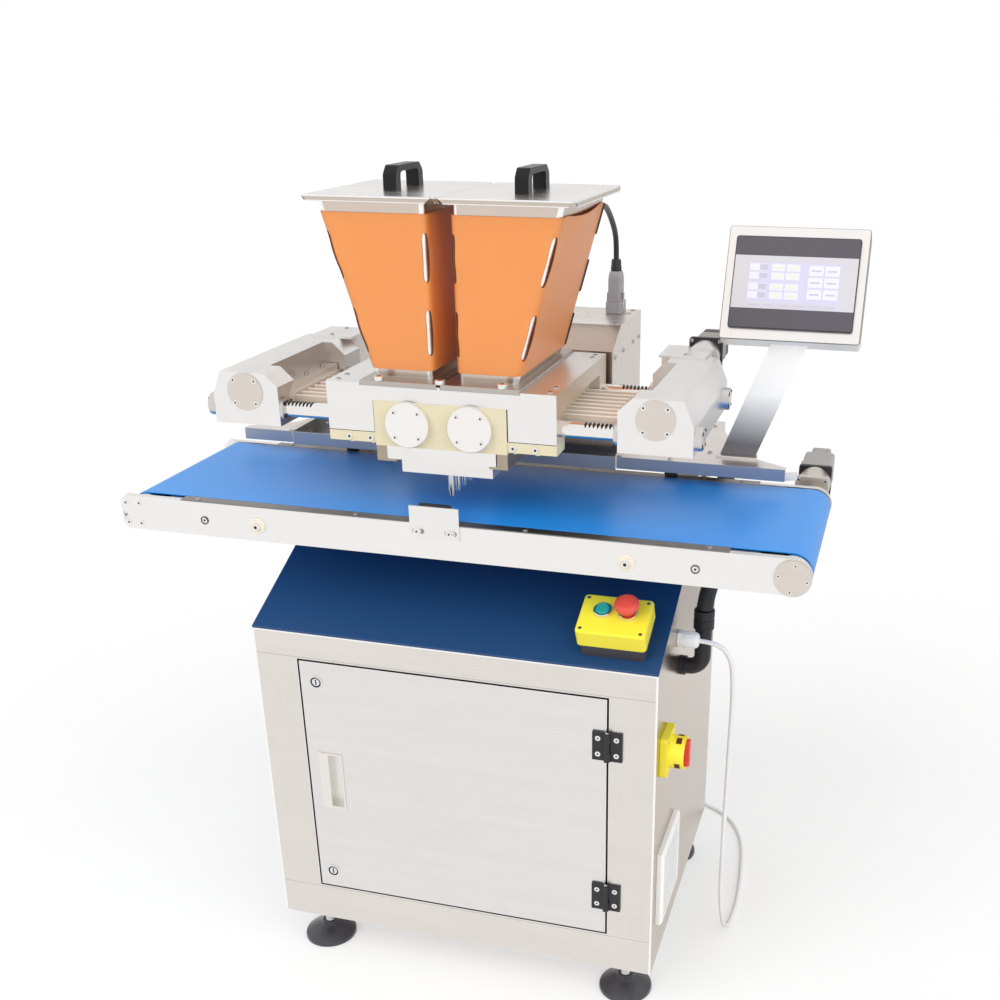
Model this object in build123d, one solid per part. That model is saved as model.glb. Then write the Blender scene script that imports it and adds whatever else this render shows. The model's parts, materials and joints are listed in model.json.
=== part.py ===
from build123d import *
import math
import os

# Millimetres, +Z up from the floor, X along the belt, Y from front to back
FIT = 0.05
CUT = 1.0

# Stand cabinet
CAB_HALF_W = 350.0
CAB_DEPTH = 548.0
CAB_BOTTOM = 85.0
CAB_FRONT_TOP = 673.0
SLOPE_DEG = 25.0
SLOPE_RUN = 310.0
SHEET = 2.0
SLOPE_SHEET = 3.0
FOOT_XS = (-293.0, 293.0)
FOOT_YS = (57.0, 491.0)
FOOT_R, FOOT_TOP = 48.0, 32.0
STUD_R, NUT_R, NUT_H = 8.0, 14.0, 10.0

# Door with its pull, locks and hinges
DOOR_X0, DOOR_X1 = -269.0, 268.0
DOOR_Z0, DOOR_Z1 = 160.0, 618.0
DOOR_GAP = 3.0
DOOR_FOLD = 20.0
PULL_X, PULL_Z, PULL_W, PULL_H, PULL_T = -227.0, 387.0, 45.0, 112.0, 1.5
POCKET_MID_X, POCKET_HALF_W, POCKET_HALF_H, POCKET_DEEP = -220.3, 12.7, 53.0, 14.0
LOCK_CENTRES = ((-240.0, 581.0, -1), (-243.0, 194.0, 1))
LOCK_R, LOCK_RING_R, LOCK_END = 9.0, 12.0, 24.0
RING_Y0, RING_Y1 = -2.4, -0.3
KEY_W, KEY_H, KEY_DEEP = 2.4, 14.0, 1.2
CAM_W, CAM_L, CAM_Y0, CAM_Y1 = 14.0, 42.0, 23.5, 27.0
HINGE_X, HINGE_Y = 269.5, -5.4
HINGE_ZS = (534.0, 237.6)
HINGE_HALF_H, KNUCKLE_HALF_H, KNUCKLE_GAP = 26.0, 9.0, 0.2
BARREL_R, PIN_R = 5.0, 2.5
LEAF_W, LEAF_T, LEAF_CLEAR = 25.0, 4.0, 5.6
WEB_Y0, WEB_Y1 = HINGE_Y - 2.0, -1.5

# Two-button box on the slope
BOX_X, BOX_UP = 271.5, 59.0
BOX_W, BOX_D, BOX_CORNER, BOX_EDGE = 112.0, 80.0, 7.0, 3.0
BOX_BASE_H, BOX_H = 27.0, 60.0
BASE_W, BASE_D, BASE_CORNER, BASE_WALL = 104.0, 74.0, 5.0, 3.0
COVER_WALL, COVER_TOP = 6.0, 4.0
BUTTON_SPAN, BUTTON_V, BUTTON_BORE = 40.0, 7.0, 11.3
COLLAR_RS, COLLAR_H = (14.5, 15.5), 5.0
START_R, START_H = 11.0, 8.0
STOP_R, STOP_LOW, STOP_HIGH, STOP_EDGE, NECK_R = 20.0, 15.0, 29.0, 6.0, 10.8
STEM_R, STEM_DEEP = 5.0, 14.0

# Rotary isolator, vent and cable entries on the right side
ISO_Y, ISO_Z = 58.0, 507.0
ISO_W, ISO_H, ISO_T, ISO_CORNER = 65.0, 72.0, 13.0, 6.0
SHROUD_R, SHROUD_IN_R, SHROUD_X, SHROUD_FLOOR = 28.0, 24.3, 38.0, 15.0
KNOB_R, KNOB_X, GRIP_X, GRIP_W, GRIP_H = 24.0, 35.0, 44.0, 12.0, 46.0
SPINDLE_R, SPINDLE_X = 5.0, 5.0
VENT_Y, VENT_Z, VENT_W, VENT_T = 103.0, 244.0, 146.0, 12.0
VENT_EDGE, VENT_BACK, VENT_SLOTS, VENT_SLOT_H, VENT_BORDER = 4.0, 4.0, 12, 6.4, 13.0
GLAND_Y, GLAND_Z = 155.0, 665.0
GLAND_HEX_R, GLAND_HEX_X, GLAND_R, GLAND_X, GLAND_EDGE = 15.5, 8.0, 14.5, 36.0, 8.0
GLAND_BORE_X = 16.0
ELBOW_X, ELBOW_Y, ELBOW_Z = 386.0, 195.0, 597.0
ELBOW_R, ELBOW_BEND, COLLAR_R, COLLAR_X = 14.0, 22.0, 17.0, 9.0
UNION_R, UNION_Z0, UNION_Z1 = 17.5, 669.0, 705.0
DECK_GLAND_X, DECK_GLAND_Y, DECK_GLAND_R, DECK_GLAND_Z = 347.0, 480.0, 19.0, 909.0

# Belt conveyor
AXLE_Z = 856.5
IDLER_X, DRIVE_X = -527.0, 540.0
ROLLER_R, ROLLER_Y0, ROLLER_Y1 = 28.2, 16.0, 328.0
JOURNAL_R, JOURNAL_Y0, DRIVE_SHAFT_END = 10.0, 3.5, 372.0
JOURNAL_BLIND = 3.0
BELT_T, BELT_OUT_R = 2.0, 30.5
BELT_Y0, BELT_Y1 = 22.0, 322.0
RAIL_T, RAIL_Z0, RAIL_Z1 = 12.0, 828.0, 885.5
RAIL_X0, RAIL_X1, RAIL_CORNER = -566.0, 571.0, 9.0
REAR_RAIL_Y = 332.0
REAR_BACK = REAR_RAIL_Y + RAIL_T
END_SLOT_X0, END_SLOT_X1, END_SLOT_Z0, END_SLOT_Z1, END_SLOT_DEEP = -563.0, -556.0, 844.0, 858.0, 1.5
CAP_X, CAP_Z, CAP_R, CAP_T, REAR_CAP_R = 543.0, 856.0, 28.0, 4.0, 20.0
TIE_XS = (-412.0, -316.0, 295.0, 400.0)
TIE_R = 8.0
BRACKET_XS = (-230.0, 0.0, 230.0)
BRACKET_HALF_W, BRACKET_T, BRACKET_FOOT, BRACKET_TOP = 30.0, 8.0, 50.0, 879.5
BED_X0, BED_X1, BED_Z0, BED_Z1 = -482.0, 492.0, 881.2, 884.2
STRIP_X0, STRIP_X1, STRIP_Y0, STRIP_Y1, STRIP_T = -453.0, 449.0, 1.0, 21.0, 1.5
SENSOR_X0, SENSOR_X1, SENSOR_Z0, SENSOR_Z1, SENSOR_T = -49.5, 32.0, 862.0, 915.0, 3.0
EYE_X0, EYE_X1, EYE_Z0, EYE_Z1, EYE_DEEP = -34.0, 18.0, 896.0, 917.0, 9.0

# Conveyor gearmotor, its body offset from the output shaft
GM_X, GM_Z = 533.0, 866.0
GM_BOSS_R, GM_FLANGE, GM_BODY, GM_END_W, GM_END_H = 22.0, 57.0, 53.0, 34.0, 48.0
GM_FLANGE_Y, GM_HEAD_Y, GM_MOTOR_Y, GM_GROOVE_Y, GM_BODY_Y, GM_END_Y, GM_BACK = (
    366.0, 374.0, 430.0, 464.0, 468.0, 524.0, 562.0)
GM_GROOVE = 48.0

# Deck and drip tray
DECK_Z0, DECK_Z1 = 925.0, 927.0
DECK_FRONT, DECK_BACK = 290.0, 560.0
DECK_HALF_W, DECK_SHEET = 494.0, 2.0
DECK_SIDE = ((494.0, 303.0), (420.0, 352.0), (362.0, 492.0), (352.0, 560.0))
LIP_DROP = 19.0
LEG_XS, LEG_YS, LEG_HALF = (-310.0, 310.0), (425.0, 525.0), 20.0
TRAY_X0, TRAY_X1, TRAY_Y0, TRAY_BACK = -396.0, 207.0, 288.0, 383.0
TRAY_FLOOR, TRAY_T, TRAY_RIM, TRAY_GAP = 904.0, 1.5, 10.0, 2.0

# Depositing head
HEAD_HALF_W, HEAD_Y0, HEAD_Y1 = 183.0, 20.0, 315.0
PLATE_Z0, PLATE_Z1 = 1069.5, 1095.5
SEAT_X, SEAT_HALF_W, SEAT_Z = 65.0, 62.3, 1092.0
SIDE_BLOCK_Z0, SIDE_FRONT_Y1, SIDE_REAR_Y0 = 1020.5, 62.0, 273.0
BACK_HALF_W, BACK_Y0, BACK_Y1, BACK_TOP = 150.0, 317.0, 330.0, 1090.0
BODY_HALF_W, BODY_Y0, BODY_Y1, BODY_Z0 = 106.0, 18.0, 317.0, 1000.5
WING_HALF_W, PAD_Z0 = 165.0, 1004.0
SPOOL_X, SPOOL_Z, SPOOL_R = 50.0, 1037.0, 16.0
SPOOL_Y0, SPOOL_Y1, SPOOL_END, SPOOL_STEM_R, STEM_HOLE_R = 19.0, 316.0, 352.0, 8.0, 9.0
FEED_R, OUTLET_R = 6.0, 4.0
COVER_R, COVER_T = 35.0, 10.0
PISTONS, PISTON_PITCH, PISTON_MID_Y, PISTON_R = 8, 22.5, 180.0, 9.0
PISTON_TIP, PISTON_BORE_X, PISTON_BAR_X = 140.0, 60.0, 280.0
BAR_TOP, BAR_STEP, BAR_STEP_TOP = 1052.0, 6.0, 1062.0
NOZZLE_Y0, NOZZLE_PITCH, NOZZLE_TIP = 57.0, 27.5, 916.0
NOZZLE_R, NOZZLE_TIP_R, NOZZLE_BORE_R, NOZZLE_STEP = 6.0, 4.5, 3.0, 8.0
LOWER_PLATE_Z0, LOWER_PLATE_Z1 = 954.0, 980.5
UPPER_HALF_W, UPPER_Y0, UPPER_Y1 = 88.0, 18.0, 292.0
LOWER_HALF_W, LOWER_Y0, LOWER_Y1 = 74.5, 40.0, 285.0
CLAMP_X, CLAMP_LIP_X, CLAMP_LIP, CLAMP_Y0, CLAMP_Y1 = 89.0, 76.0, 4.5, 20.0, 288.0
GROOVE = 6.0

# Toothed rods, pinions and carriages
ROD_R, ROD_Z = 12.5, 1039.5
ROD_YS = (47.0, 288.0)
ROD_X0, ROD_X1 = 112.0, 398.0
RACK_X0, RACK_X1, RACK_TIP_Z = 214.5, 373.5, 1051.0
TEETH_INSIDE, TEETH_OUTSIDE = 17, 6
PRESSURE_DEG = 20.0
MODULE, PINION_TEETH, PINION_W = 2.0, 17, 20.0
PINION_X = 328.5
PINION_Z = RACK_TIP_Z - MODULE + MODULE * PINION_TEETH / 2
SHAFT_R, SHAFT_Y0, SHAFT_Y1 = 10.0, 32.0, 356.0
FINE_MODULE, GEAR_TEETH, MOTOR_TEETH = 1.0, 28, 16
GEAR_Y0, GEAR_Y1 = 340.0, 352.0
MOTOR_X, MOTOR_SHAFT_R, MOTOR_SHAFT_Y0, MOTOR_SHAFT_Y1 = 337.0, 4.0, 338.0, 390.0
GEAR_CENTRES = FINE_MODULE * (GEAR_TEETH + MOTOR_TEETH) / 2
MOTOR_RISE = math.sqrt(GEAR_CENTRES ** 2 - (MOTOR_X - PINION_X) ** 2)
CAR_X0, CAR_X1 = 272.0, 385.0
CAR_Y0, CAR_Y1 = 30.0, 331.0
CAR_Z0, CAR_Z1 = 1014.0, 1096.5
CAR_OUT_Z, CAR_OUT_X, CAR_IN_Z, CAR_IN_X = 1059.0, 369.5, 1076.0, 294.0
POCKET_Y0, POCKET_Y1, POCKET_X, POCKET_FLOOR = 85.0, 272.0, 312.0, 1024.0
BEARING_R, BEARING_T = 30.0, 2.0
IN_BUSH_R, IN_BUSH_L, OUT_BUSH_R, OUT_BUSH_L = 19.0, 6.0, 18.0, 12.0
CASE_X0, CASE_X1, CASE_Y1 = 274.0, 352.0, 385.0
CASE_Z0, LOW_CASE_Z0 = 1036.0, 1018.0
CASE_LID_Y0, CASE_LID_Y1, CASE_LID_Z = 305.0, 390.0, 1100.0
HEAD_BOSS_R, HEAD_BOSS_Y0, SERVO_Y0 = 25.5, 365.0, 391.0
CHAMBER_Y0, CHAMBER_Y1, GEAR_CHAMBER_R, MOTOR_CHAMBER_R = 338.0, 354.0, 16.0, 10.0
SERVO_FLANGE, SERVO_FLANGE_T, SERVO_BODY, SERVO_Y1 = 57.0, 8.0, 46.0, 500.0

# Hoppers, jackets and lids
HOP_Y0, HOP_Y1 = 51.0, 287.0
HOP_X0, HOP_X1_LOW, HOP_X1_TOP = 21.0, 114.0, 190.0
HOP_Z0, HOP_Z1 = 1100.0, 1360.0
HOP_WALL, HOP_CORNER = 2.0, 9.0
HOP_FLANGE_X0, HOP_FLANGE_X1 = 3.0, 127.0
JACKET_T, JACKET_Z0, JACKET_Z1 = 3.0, 1112.0, 1338.0
SLOT_ZS = ((1242.0, 1312.0), (1135.0, 1202.0))
SLOT_IN, SLOT_OUT = 8.0, 6.0
CABLE_X, CABLE_Z, CABLE_BOSS_R, CABLE_BOSS_L = 166.0, 1326.0, 8.0, 24.0
LID_X0, LID_X1, LID_Y0, LID_Y1 = 3.0, 208.0, 38.0, 304.0
LID_T, LID_WALL, LID_LIP, LID_NOTCH = 2.0, 1.5, 8.5, 4.0
HANDLE_X, HANDLE_Y0, HANDLE_L, HANDLE_W, HANDLE_H = 103.0, 124.0, 105.0, 21.0, 35.0
HANDLE_LEG, HANDLE_BEVEL, HANDLE_GRIP, HANDLE_INNER = 17.5, 14.0, 9.0, 6.0

# Valve drive box, heater connector and touch panel
DRIVE_HALF_W, DRIVE_Y0, DRIVE_Y1, DRIVE_TOP = 190.0, 330.0, 545.0, 1128.0
DRIVE_FOOT_H, DRIVE_FOOT_R = 4.0, 14.0
DRIVE_SLOPE_Y, DRIVE_SLOPE_Z = 390.0, 1095.0
DRIVE_FOOT_XS, DRIVE_FOOT_YS = (-170.0, 170.0), (420.0, 525.0)
SPOOL_MOTOR_R, SPOOL_MOTOR_Y1 = 32.0, 440.0
CONN_X, CONN_Y, CONN_Z = 151.0, 511.0, 1128.0
CONN_HALF_W, CONN_HALF_D, CONN_H, CONN_EDGE = 11.0, 17.0, 72.0, 3.0
CONN_BASE_HALF_W, CONN_BASE_HALF_D, CONN_BASE_H = 14.0, 22.0, 20.0
CONN_NECK_R, CONN_NECK_H, LATCH_R, LATCH_HALF_W, LATCH_Y, LATCH_Z = 9.0, 20.0, 4.0, 16.0, -6.0, 12.0
PANEL_AT = (479.0, 373.0, 1212.0)
PANEL_TILT = 24.7
PANEL_W, PANEL_H, PANEL_T, PANEL_CORNER, PANEL_EDGE = 200.0, 150.0, 3.0, 6.0, 1.5
HOUSING_W, HOUSING_H, HOUSING_D, HOUSING_CORNER, HOUSING_EDGE = 226.0, 185.0, 45.0, 5.0, 2.0
ARM_W, ARM_T, ARM_TOP = 60.0, 8.0, 1140.0
ARM_FOOT_X, ARM_FOOT_Y, ARM_HEAD_X, ARM_HEAD_Y = 406.0, 346.0, 488.0, 364.0
ARM_PLATE_HALF_W, ARM_PLATE_Y0, ARM_PLATE_T = 34.0, 330.0, 4.0

# Cords
LEAD_R = 4.0
COIL_AT = (150.0, 640.0)
COIL_OUT, COIL_STEP, COIL_TURNS, COIL_LIFT, COIL_TAIL = 58.0, 10.6, 3, 9.6, 30.0
PLUG_SLEEVE, PLUG_L, PLUG_HALF_W, PLUG_EDGE = 26.0, 42.0, 18.0, 8.0
PLUG_PIN_R, PLUG_PIN_L, PLUG_PIN_SPAN = 2.4, 19.0, 19.0
HOPPER_CABLE_R = 4.8
CONDUIT_R = 14.0

# Electrical panel inside the cabinet
EP_HALF_W, EP_Y0, EP_Y1, EP_Z0, EP_Z1 = 280.0, 500.0, 503.0, 180.0, 700.0
EP_POST_XS, EP_POST_ZS, EP_POST_R = (-265.0, 265.0), (195.0, 685.0), 8.0
EP_UNITS = (
    (-230.0, -170.0, 380.0, 500.0, 660.0),
    (-160.0, -100.0, 380.0, 500.0, 660.0),
    (-90.0, -30.0, 380.0, 500.0, 660.0),
    (20.0, 130.0, 400.0, 510.0, 650.0),
    (150.0, 250.0, 420.0, 510.0, 650.0),
    (-260.0, 260.0, 455.0, 440.0, 470.0),
    (-240.0, 240.0, 430.0, 320.0, 400.0),
    (-240.0, 240.0, 450.0, 220.0, 270.0),
)

nodes = {}
cords = ("mains_lead", "mains_coil", "mains_plug", "hopper_cable")


def block(x0, x1, y0, y1, z0, z1):
    middle = Pos((x0 + x1) / 2, (y0 + y1) / 2, (z0 + z1) / 2)
    return middle * Box(x1 - x0, y1 - y0, z1 - z0)


def square_y(side, y0, y1, x, z):
    return block(x - side / 2, x + side / 2, y0, y1, z - side / 2, z + side / 2)


def bar_x(r, x0, x1, y, z):
    return Pos((x0 + x1) / 2, y, z) * Rot(0, 90, 0) * Cylinder(r, x1 - x0)


def bar_y(r, y0, y1, x, z):
    return Pos(x, (y0 + y1) / 2, z) * Rot(90, 0, 0) * Cylinder(r, y1 - y0)


def bar_z(r, z0, z1, x, y):
    return Pos(x, y, (z0 + z1) / 2) * Cylinder(r, z1 - z0)


def prism(points, along, length):
    face = make_face(Polyline(*points, close=True))
    return extrude(face, amount=length, dir=along)


def prism_x(points, x0, x1):
    return prism([(x0, y, z) for y, z in points], (1, 0, 0), x1 - x0)


def prism_y(points, y0, y1):
    return prism([(x, y0, z) for x, z in points], (0, 1, 0), y1 - y0)


def prism_z(points, z0, z1):
    return prism([(x, y, z0) for x, y in points], (0, 0, 1), z1 - z0)


def rounded(width, depth, corner, z0, z1):
    return Pos(0, 0, z0) * extrude(RectangleRounded(width, depth, corner), amount=z1 - z0)


def flip(shape):
    return shape.mirror(Plane.YZ)


def both(shape):
    return [shape, flip(shape)]


def keep(name, *shapes):
    solids = []
    for shape in shapes:
        items = shape if isinstance(shape, (list, tuple)) else [shape]
        for item in items:
            solids.extend(item.solids())
    nodes[name] = solids


def slope_z(y):
    return CAB_FRONT_TOP + y * math.tan(math.radians(SLOPE_DEG))


# Stand cabinet: front frame with a folded door opening
slope_drop = SLOPE_SHEET / math.cos(math.radians(SLOPE_DEG))
front_top = CAB_FRONT_TOP - slope_drop
cab_top = slope_z(SLOPE_RUN)
open_x0, open_x1 = DOOR_X0 - DOOR_GAP, DOOR_X1 + DOOR_GAP
open_z0, open_z1 = DOOR_Z0 - DOOR_GAP, DOOR_Z1 + DOOR_GAP
fold_end = DOOR_FOLD + SHEET
frame = block(-CAB_HALF_W, CAB_HALF_W, 0, SHEET, CAB_BOTTOM, front_top)
frame += block(open_x0 - SHEET, open_x1 + SHEET, SHEET, fold_end, open_z0 - SHEET, open_z1 + SHEET)
frame -= block(open_x0, open_x1, -CUT, fold_end + CUT, open_z0, open_z1)
keep("cabinet_front_frame", frame)

# Sides, back, floor and flat top
side_line = [
    (SHEET, CAB_BOTTOM),
    (CAB_DEPTH - SHEET, CAB_BOTTOM),
    (CAB_DEPTH - SHEET, cab_top - slope_drop),
    (SLOPE_RUN, cab_top - slope_drop),
    (SHEET, slope_z(SHEET) - slope_drop),
]
side = prism_x(side_line, CAB_HALF_W - SHEET, CAB_HALF_W)
inner_w = CAB_HALF_W - SHEET
back = block(-CAB_HALF_W, CAB_HALF_W, CAB_DEPTH - SHEET, CAB_DEPTH, CAB_BOTTOM, cab_top - slope_drop)
bottom = block(-inner_w, inner_w, SHEET, CAB_DEPTH - SHEET, CAB_BOTTOM, CAB_BOTTOM + SHEET)
top = block(-CAB_HALF_W, CAB_HALF_W, SLOPE_RUN, CAB_DEPTH, cab_top - slope_drop, cab_top)
keep("cabinet_panels", both(side), back, bottom, top)

# Sloping front panel
slope_line = [
    (0, CAB_FRONT_TOP),
    (SLOPE_RUN, cab_top),
    (SLOPE_RUN, cab_top - slope_drop),
    (0, front_top),
]
keep("slope_panel", prism_x(slope_line, -CAB_HALF_W, CAB_HALF_W))


def pull_pocket(grow, y0, y1):
    half_w, half_h = POCKET_HALF_W + grow, POCKET_HALF_H + grow
    return block(POCKET_MID_X - half_w, POCKET_MID_X + half_w, y0, y1, PULL_Z - half_h, PULL_Z + half_h)


# Door pan with openings for the pull and the locks
POCKET_GAP = 0.2
door = block(DOOR_X0, DOOR_X1, 0, DOOR_FOLD, DOOR_Z0, DOOR_Z1)
door -= block(DOOR_X0 + SHEET, DOOR_X1 - SHEET, SHEET, DOOR_FOLD + CUT, DOOR_Z0 + SHEET, DOOR_Z1 - SHEET)
door -= pull_pocket(POCKET_GAP, -CUT, SHEET + CUT)
for lock_x, lock_z, cam_way in LOCK_CENTRES:
    door -= bar_y(LOCK_R + FIT, -CUT, SHEET + CUT, lock_x, lock_z)
keep("cabinet_door", door)

# Recessed finger pull, its pocket to the right of a broad flange
half_w, half_h = PULL_W / 2, PULL_H / 2
pull = block(PULL_X - half_w, PULL_X + half_w, -PULL_T, 0, PULL_Z - half_h, PULL_Z + half_h)
pull += pull_pocket(0, 0, POCKET_DEEP)
pull -= pull_pocket(-PULL_T, -PULL_T - CUT, POCKET_DEEP - PULL_T)
keep("door_pull", pull)

# Quarter-turn cam locks, drawn unlocked
for name, (lock_x, lock_z, cam_way) in zip(("upper_door_lock", "lower_door_lock"), LOCK_CENTRES):
    lock = bar_y(LOCK_RING_R, RING_Y0, RING_Y1, lock_x, lock_z)
    lock += bar_y(LOCK_R, RING_Y1 - 0.1, LOCK_END, lock_x, lock_z)
    key_x0, key_x1 = lock_x - KEY_W / 2, lock_x + KEY_W / 2
    lock -= block(key_x0, key_x1, RING_Y0 - CUT, RING_Y0 + KEY_DEEP, lock_z - KEY_H / 2, lock_z + KEY_H / 2)
    cam_end = lock_z + cam_way * CAM_L
    cam_z0, cam_z1 = min(lock_z, cam_end), max(lock_z, cam_end)
    lock += block(lock_x - CAM_W / 2, lock_x + CAM_W / 2, CAM_Y0, CAM_Y1, cam_z0, cam_z1)
    keep(name, lock)

# Surface hinges: frame leaves carry the pins, door leaves turn on them
WEB = 6.0
frame_leaves = []
door_leaves = []
for z in HINGE_ZS:
    lo, hi = z - HINGE_HALF_H, z + HINGE_HALF_H
    knuckle_lo, knuckle_hi = z - KNUCKLE_HALF_H, z + KNUCKLE_HALF_H
    leaf = block(HINGE_X + LEAF_CLEAR, HINGE_X + LEAF_W, -LEAF_T, 0, lo, hi)
    for a, b in ((lo, knuckle_lo - KNUCKLE_GAP), (knuckle_hi + KNUCKLE_GAP, hi)):
        leaf += block(HINGE_X, HINGE_X + WEB, WEB_Y0, WEB_Y1, a, b)
        leaf += bar_z(BARREL_R, a, b, HINGE_X, HINGE_Y)
    leaf += bar_z(PIN_R, lo, hi, HINGE_X, HINGE_Y)
    frame_leaves.append(leaf)
    leaf = block(HINGE_X - LEAF_W, HINGE_X - LEAF_CLEAR, -LEAF_T, 0, lo, hi)
    leaf += block(HINGE_X - WEB, HINGE_X, WEB_Y0, WEB_Y1, knuckle_lo, knuckle_hi)
    leaf += bar_z(BARREL_R, knuckle_lo, knuckle_hi, HINGE_X, HINGE_Y)
    leaf -= bar_z(PIN_R + FIT, lo, hi, HINGE_X, HINGE_Y)
    door_leaves.append(leaf)
keep("frame_hinge_leaves", frame_leaves)
keep("door_hinge_leaves", door_leaves)

# Levelling feet: dished pad, stud and lock nut
feet = []
foot_line = [(0, 0), (FOOT_R, 0), (FOOT_R, 9), (22, 22), (15, 25), (15, FOOT_TOP), (0, FOOT_TOP)]
pad_face = make_face(Polyline(*[(r, 0, z) for r, z in foot_line], close=True))
pad = revolve(pad_face, Axis.Z)
for x in FOOT_XS:
    for y in FOOT_YS:
        feet.append(Pos(x, y, 0) * pad)
        nut = extrude(RegularPolygon(NUT_R, 6), amount=NUT_H)
        feet.append(bar_z(STUD_R, FOOT_TOP, CAB_BOTTOM, x, y) + Pos(x, y, CAB_BOTTOM - NUT_H) * nut)
keep("levelling_feet", feet)

# Two-button box, laid out square to the slope
slope_up = (0, math.cos(math.radians(SLOPE_DEG)), math.sin(math.radians(SLOPE_DEG)))
slope_out = (0, -slope_up[2], slope_up[1])
box_at = (BOX_X, BOX_UP * slope_up[1], CAB_FRONT_TOP + BOX_UP * slope_up[2])
on_slope = Location(Plane(origin=box_at, x_dir=(1, 0, 0), z_dir=slope_out))
start_u, stop_u = -BUTTON_SPAN / 2, BUTTON_SPAN / 2
base = rounded(BASE_W, BASE_D, BASE_CORNER, 0, BOX_BASE_H)
base_in_w, base_in_d = BASE_W - 2 * BASE_WALL, BASE_D - 2 * BASE_WALL
base -= rounded(base_in_w, base_in_d, BASE_CORNER - 2, BASE_WALL, BOX_BASE_H + CUT)
keep("control_box_base", on_slope * base)
cover = rounded(BOX_W, BOX_D, BOX_CORNER, BOX_BASE_H, BOX_H)
cover = fillet(cover.faces().sort_by(Axis.Z)[-1].edges(), BOX_EDGE)
cover_in_w, cover_in_d = BOX_W - 2 * COVER_WALL, BOX_D - 2 * COVER_WALL
cover -= rounded(cover_in_w, cover_in_d, BOX_CORNER - BOX_EDGE, BOX_BASE_H - CUT, BOX_H - COVER_TOP)
for u, collar in zip((start_u, stop_u), COLLAR_RS):
    cover += bar_z(collar, BOX_H - 0.5, BOX_H + COLLAR_H, u, BUTTON_V)
    cover -= bar_z(BUTTON_BORE, BOX_H - COVER_TOP - CUT, BOX_H + COLLAR_H + CUT, u, BUTTON_V)
keep("control_box_cover", on_slope * cover)
start = bar_z(START_R, BOX_H - 3, BOX_H + START_H, start_u, BUTTON_V)
start = chamfer(start.faces().sort_by(Axis.Z)[-1].edges(), 1)
start += bar_z(STEM_R, BOX_H - STEM_DEEP, BOX_H - 2, start_u, BUTTON_V)
keep("start_button", on_slope * start)
stop = bar_z(STOP_R, BOX_H + STOP_LOW, BOX_H + STOP_HIGH, stop_u, BUTTON_V)
stop = fillet(stop.faces().sort_by(Axis.Z)[-1].edges(), STOP_EDGE)
stop += bar_z(NECK_R, BOX_H - 3, BOX_H + STOP_LOW + CUT, stop_u, BUTTON_V)
stop += bar_z(STEM_R, BOX_H - STEM_DEEP, BOX_H - 2, stop_u, BUTTON_V)
keep("estop_button", on_slope * stop)

# Rotary isolator: square plate, round shroud, recessed dial and grip
side_x = CAB_HALF_W
iso_y0, iso_y1 = ISO_Y - ISO_W / 2, ISO_Y + ISO_W / 2
iso = block(side_x, side_x + ISO_T, iso_y0, iso_y1, ISO_Z - ISO_H / 2, ISO_Z + ISO_H / 2)
iso = fillet(iso.edges().filter_by(Axis.X), ISO_CORNER)
iso += bar_x(SHROUD_R, side_x + ISO_T - CUT, side_x + SHROUD_X, ISO_Y, ISO_Z)
iso -= bar_x(SHROUD_IN_R, side_x + SHROUD_FLOOR, side_x + SHROUD_X + CUT, ISO_Y, ISO_Z)
iso -= bar_x(SPINDLE_R + FIT, side_x + SPINDLE_X - CUT, side_x + SHROUD_FLOOR + CUT, ISO_Y, ISO_Z)
keep("isolator_base", iso)
dial_x = side_x + SHROUD_FLOOR + 0.3
grip_y0, grip_y1 = ISO_Y - GRIP_W / 2, ISO_Y + GRIP_W / 2
grip_z0, grip_z1 = ISO_Z - GRIP_H / 2, ISO_Z + GRIP_H / 2
knob = bar_x(KNOB_R, dial_x, side_x + KNOB_X, ISO_Y, ISO_Z)
knob += block(side_x + KNOB_X - CUT, side_x + GRIP_X, grip_y0, grip_y1, grip_z0, grip_z1)
knob += bar_x(SPINDLE_R, side_x + SPINDLE_X, dial_x + CUT, ISO_Y, ISO_Z)
keep("isolator_knob", knob)

# Louvred vent grille
vent_y0, vent_y1 = VENT_Y - VENT_W / 2, VENT_Y + VENT_W / 2
vent_z0, vent_z1 = VENT_Z - VENT_W / 2, VENT_Z + VENT_W / 2
vent = block(side_x, side_x + VENT_T, vent_y0, vent_y1, vent_z0, vent_z1)
vent = chamfer(vent.faces().sort_by(Axis.X)[-1].edges(), VENT_EDGE)
slot_z0 = vent_z0 + VENT_BORDER
slot_pitch = (VENT_W - 2 * VENT_BORDER - VENT_SLOT_H) / (VENT_SLOTS - 1)
slot_y0, slot_y1 = vent_y0 + VENT_BORDER, vent_y1 - VENT_BORDER
for k in range(VENT_SLOTS):
    z0 = slot_z0 + k * slot_pitch
    vent -= block(side_x + VENT_BACK, side_x + VENT_T + CUT, slot_y0, slot_y1, z0, z0 + VENT_SLOT_H)
keep("vent_grille", vent)

# Mains gland: hexagon and clamping dome
hexagon = Rot(0, 90, 0) * extrude(RegularPolygon(GLAND_HEX_R, 6), amount=GLAND_HEX_X)
dome = bar_x(GLAND_R, side_x + GLAND_HEX_X - CUT, side_x + GLAND_X, GLAND_Y, GLAND_Z)
dome = fillet(dome.faces().sort_by(Axis.X)[-1].edges(), GLAND_EDGE)
gland = Pos(side_x, GLAND_Y, GLAND_Z) * hexagon + dome
gland -= bar_x(LEAD_R + FIT, side_x + GLAND_BORE_X, side_x + GLAND_X + CUT, GLAND_Y, GLAND_Z)
keep("mains_gland", gland)


def route_radii(points):
    runs = [(Vector(b) - Vector(a)) for a, b in zip(points, points[1:])]
    radii = []
    for before, after in zip(runs, runs[1:]):
        turn = math.radians(before.get_angle(after))
        radii.append(0.45 * min(before.length, after.length) / math.tan(turn / 2))
    return radii


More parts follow.
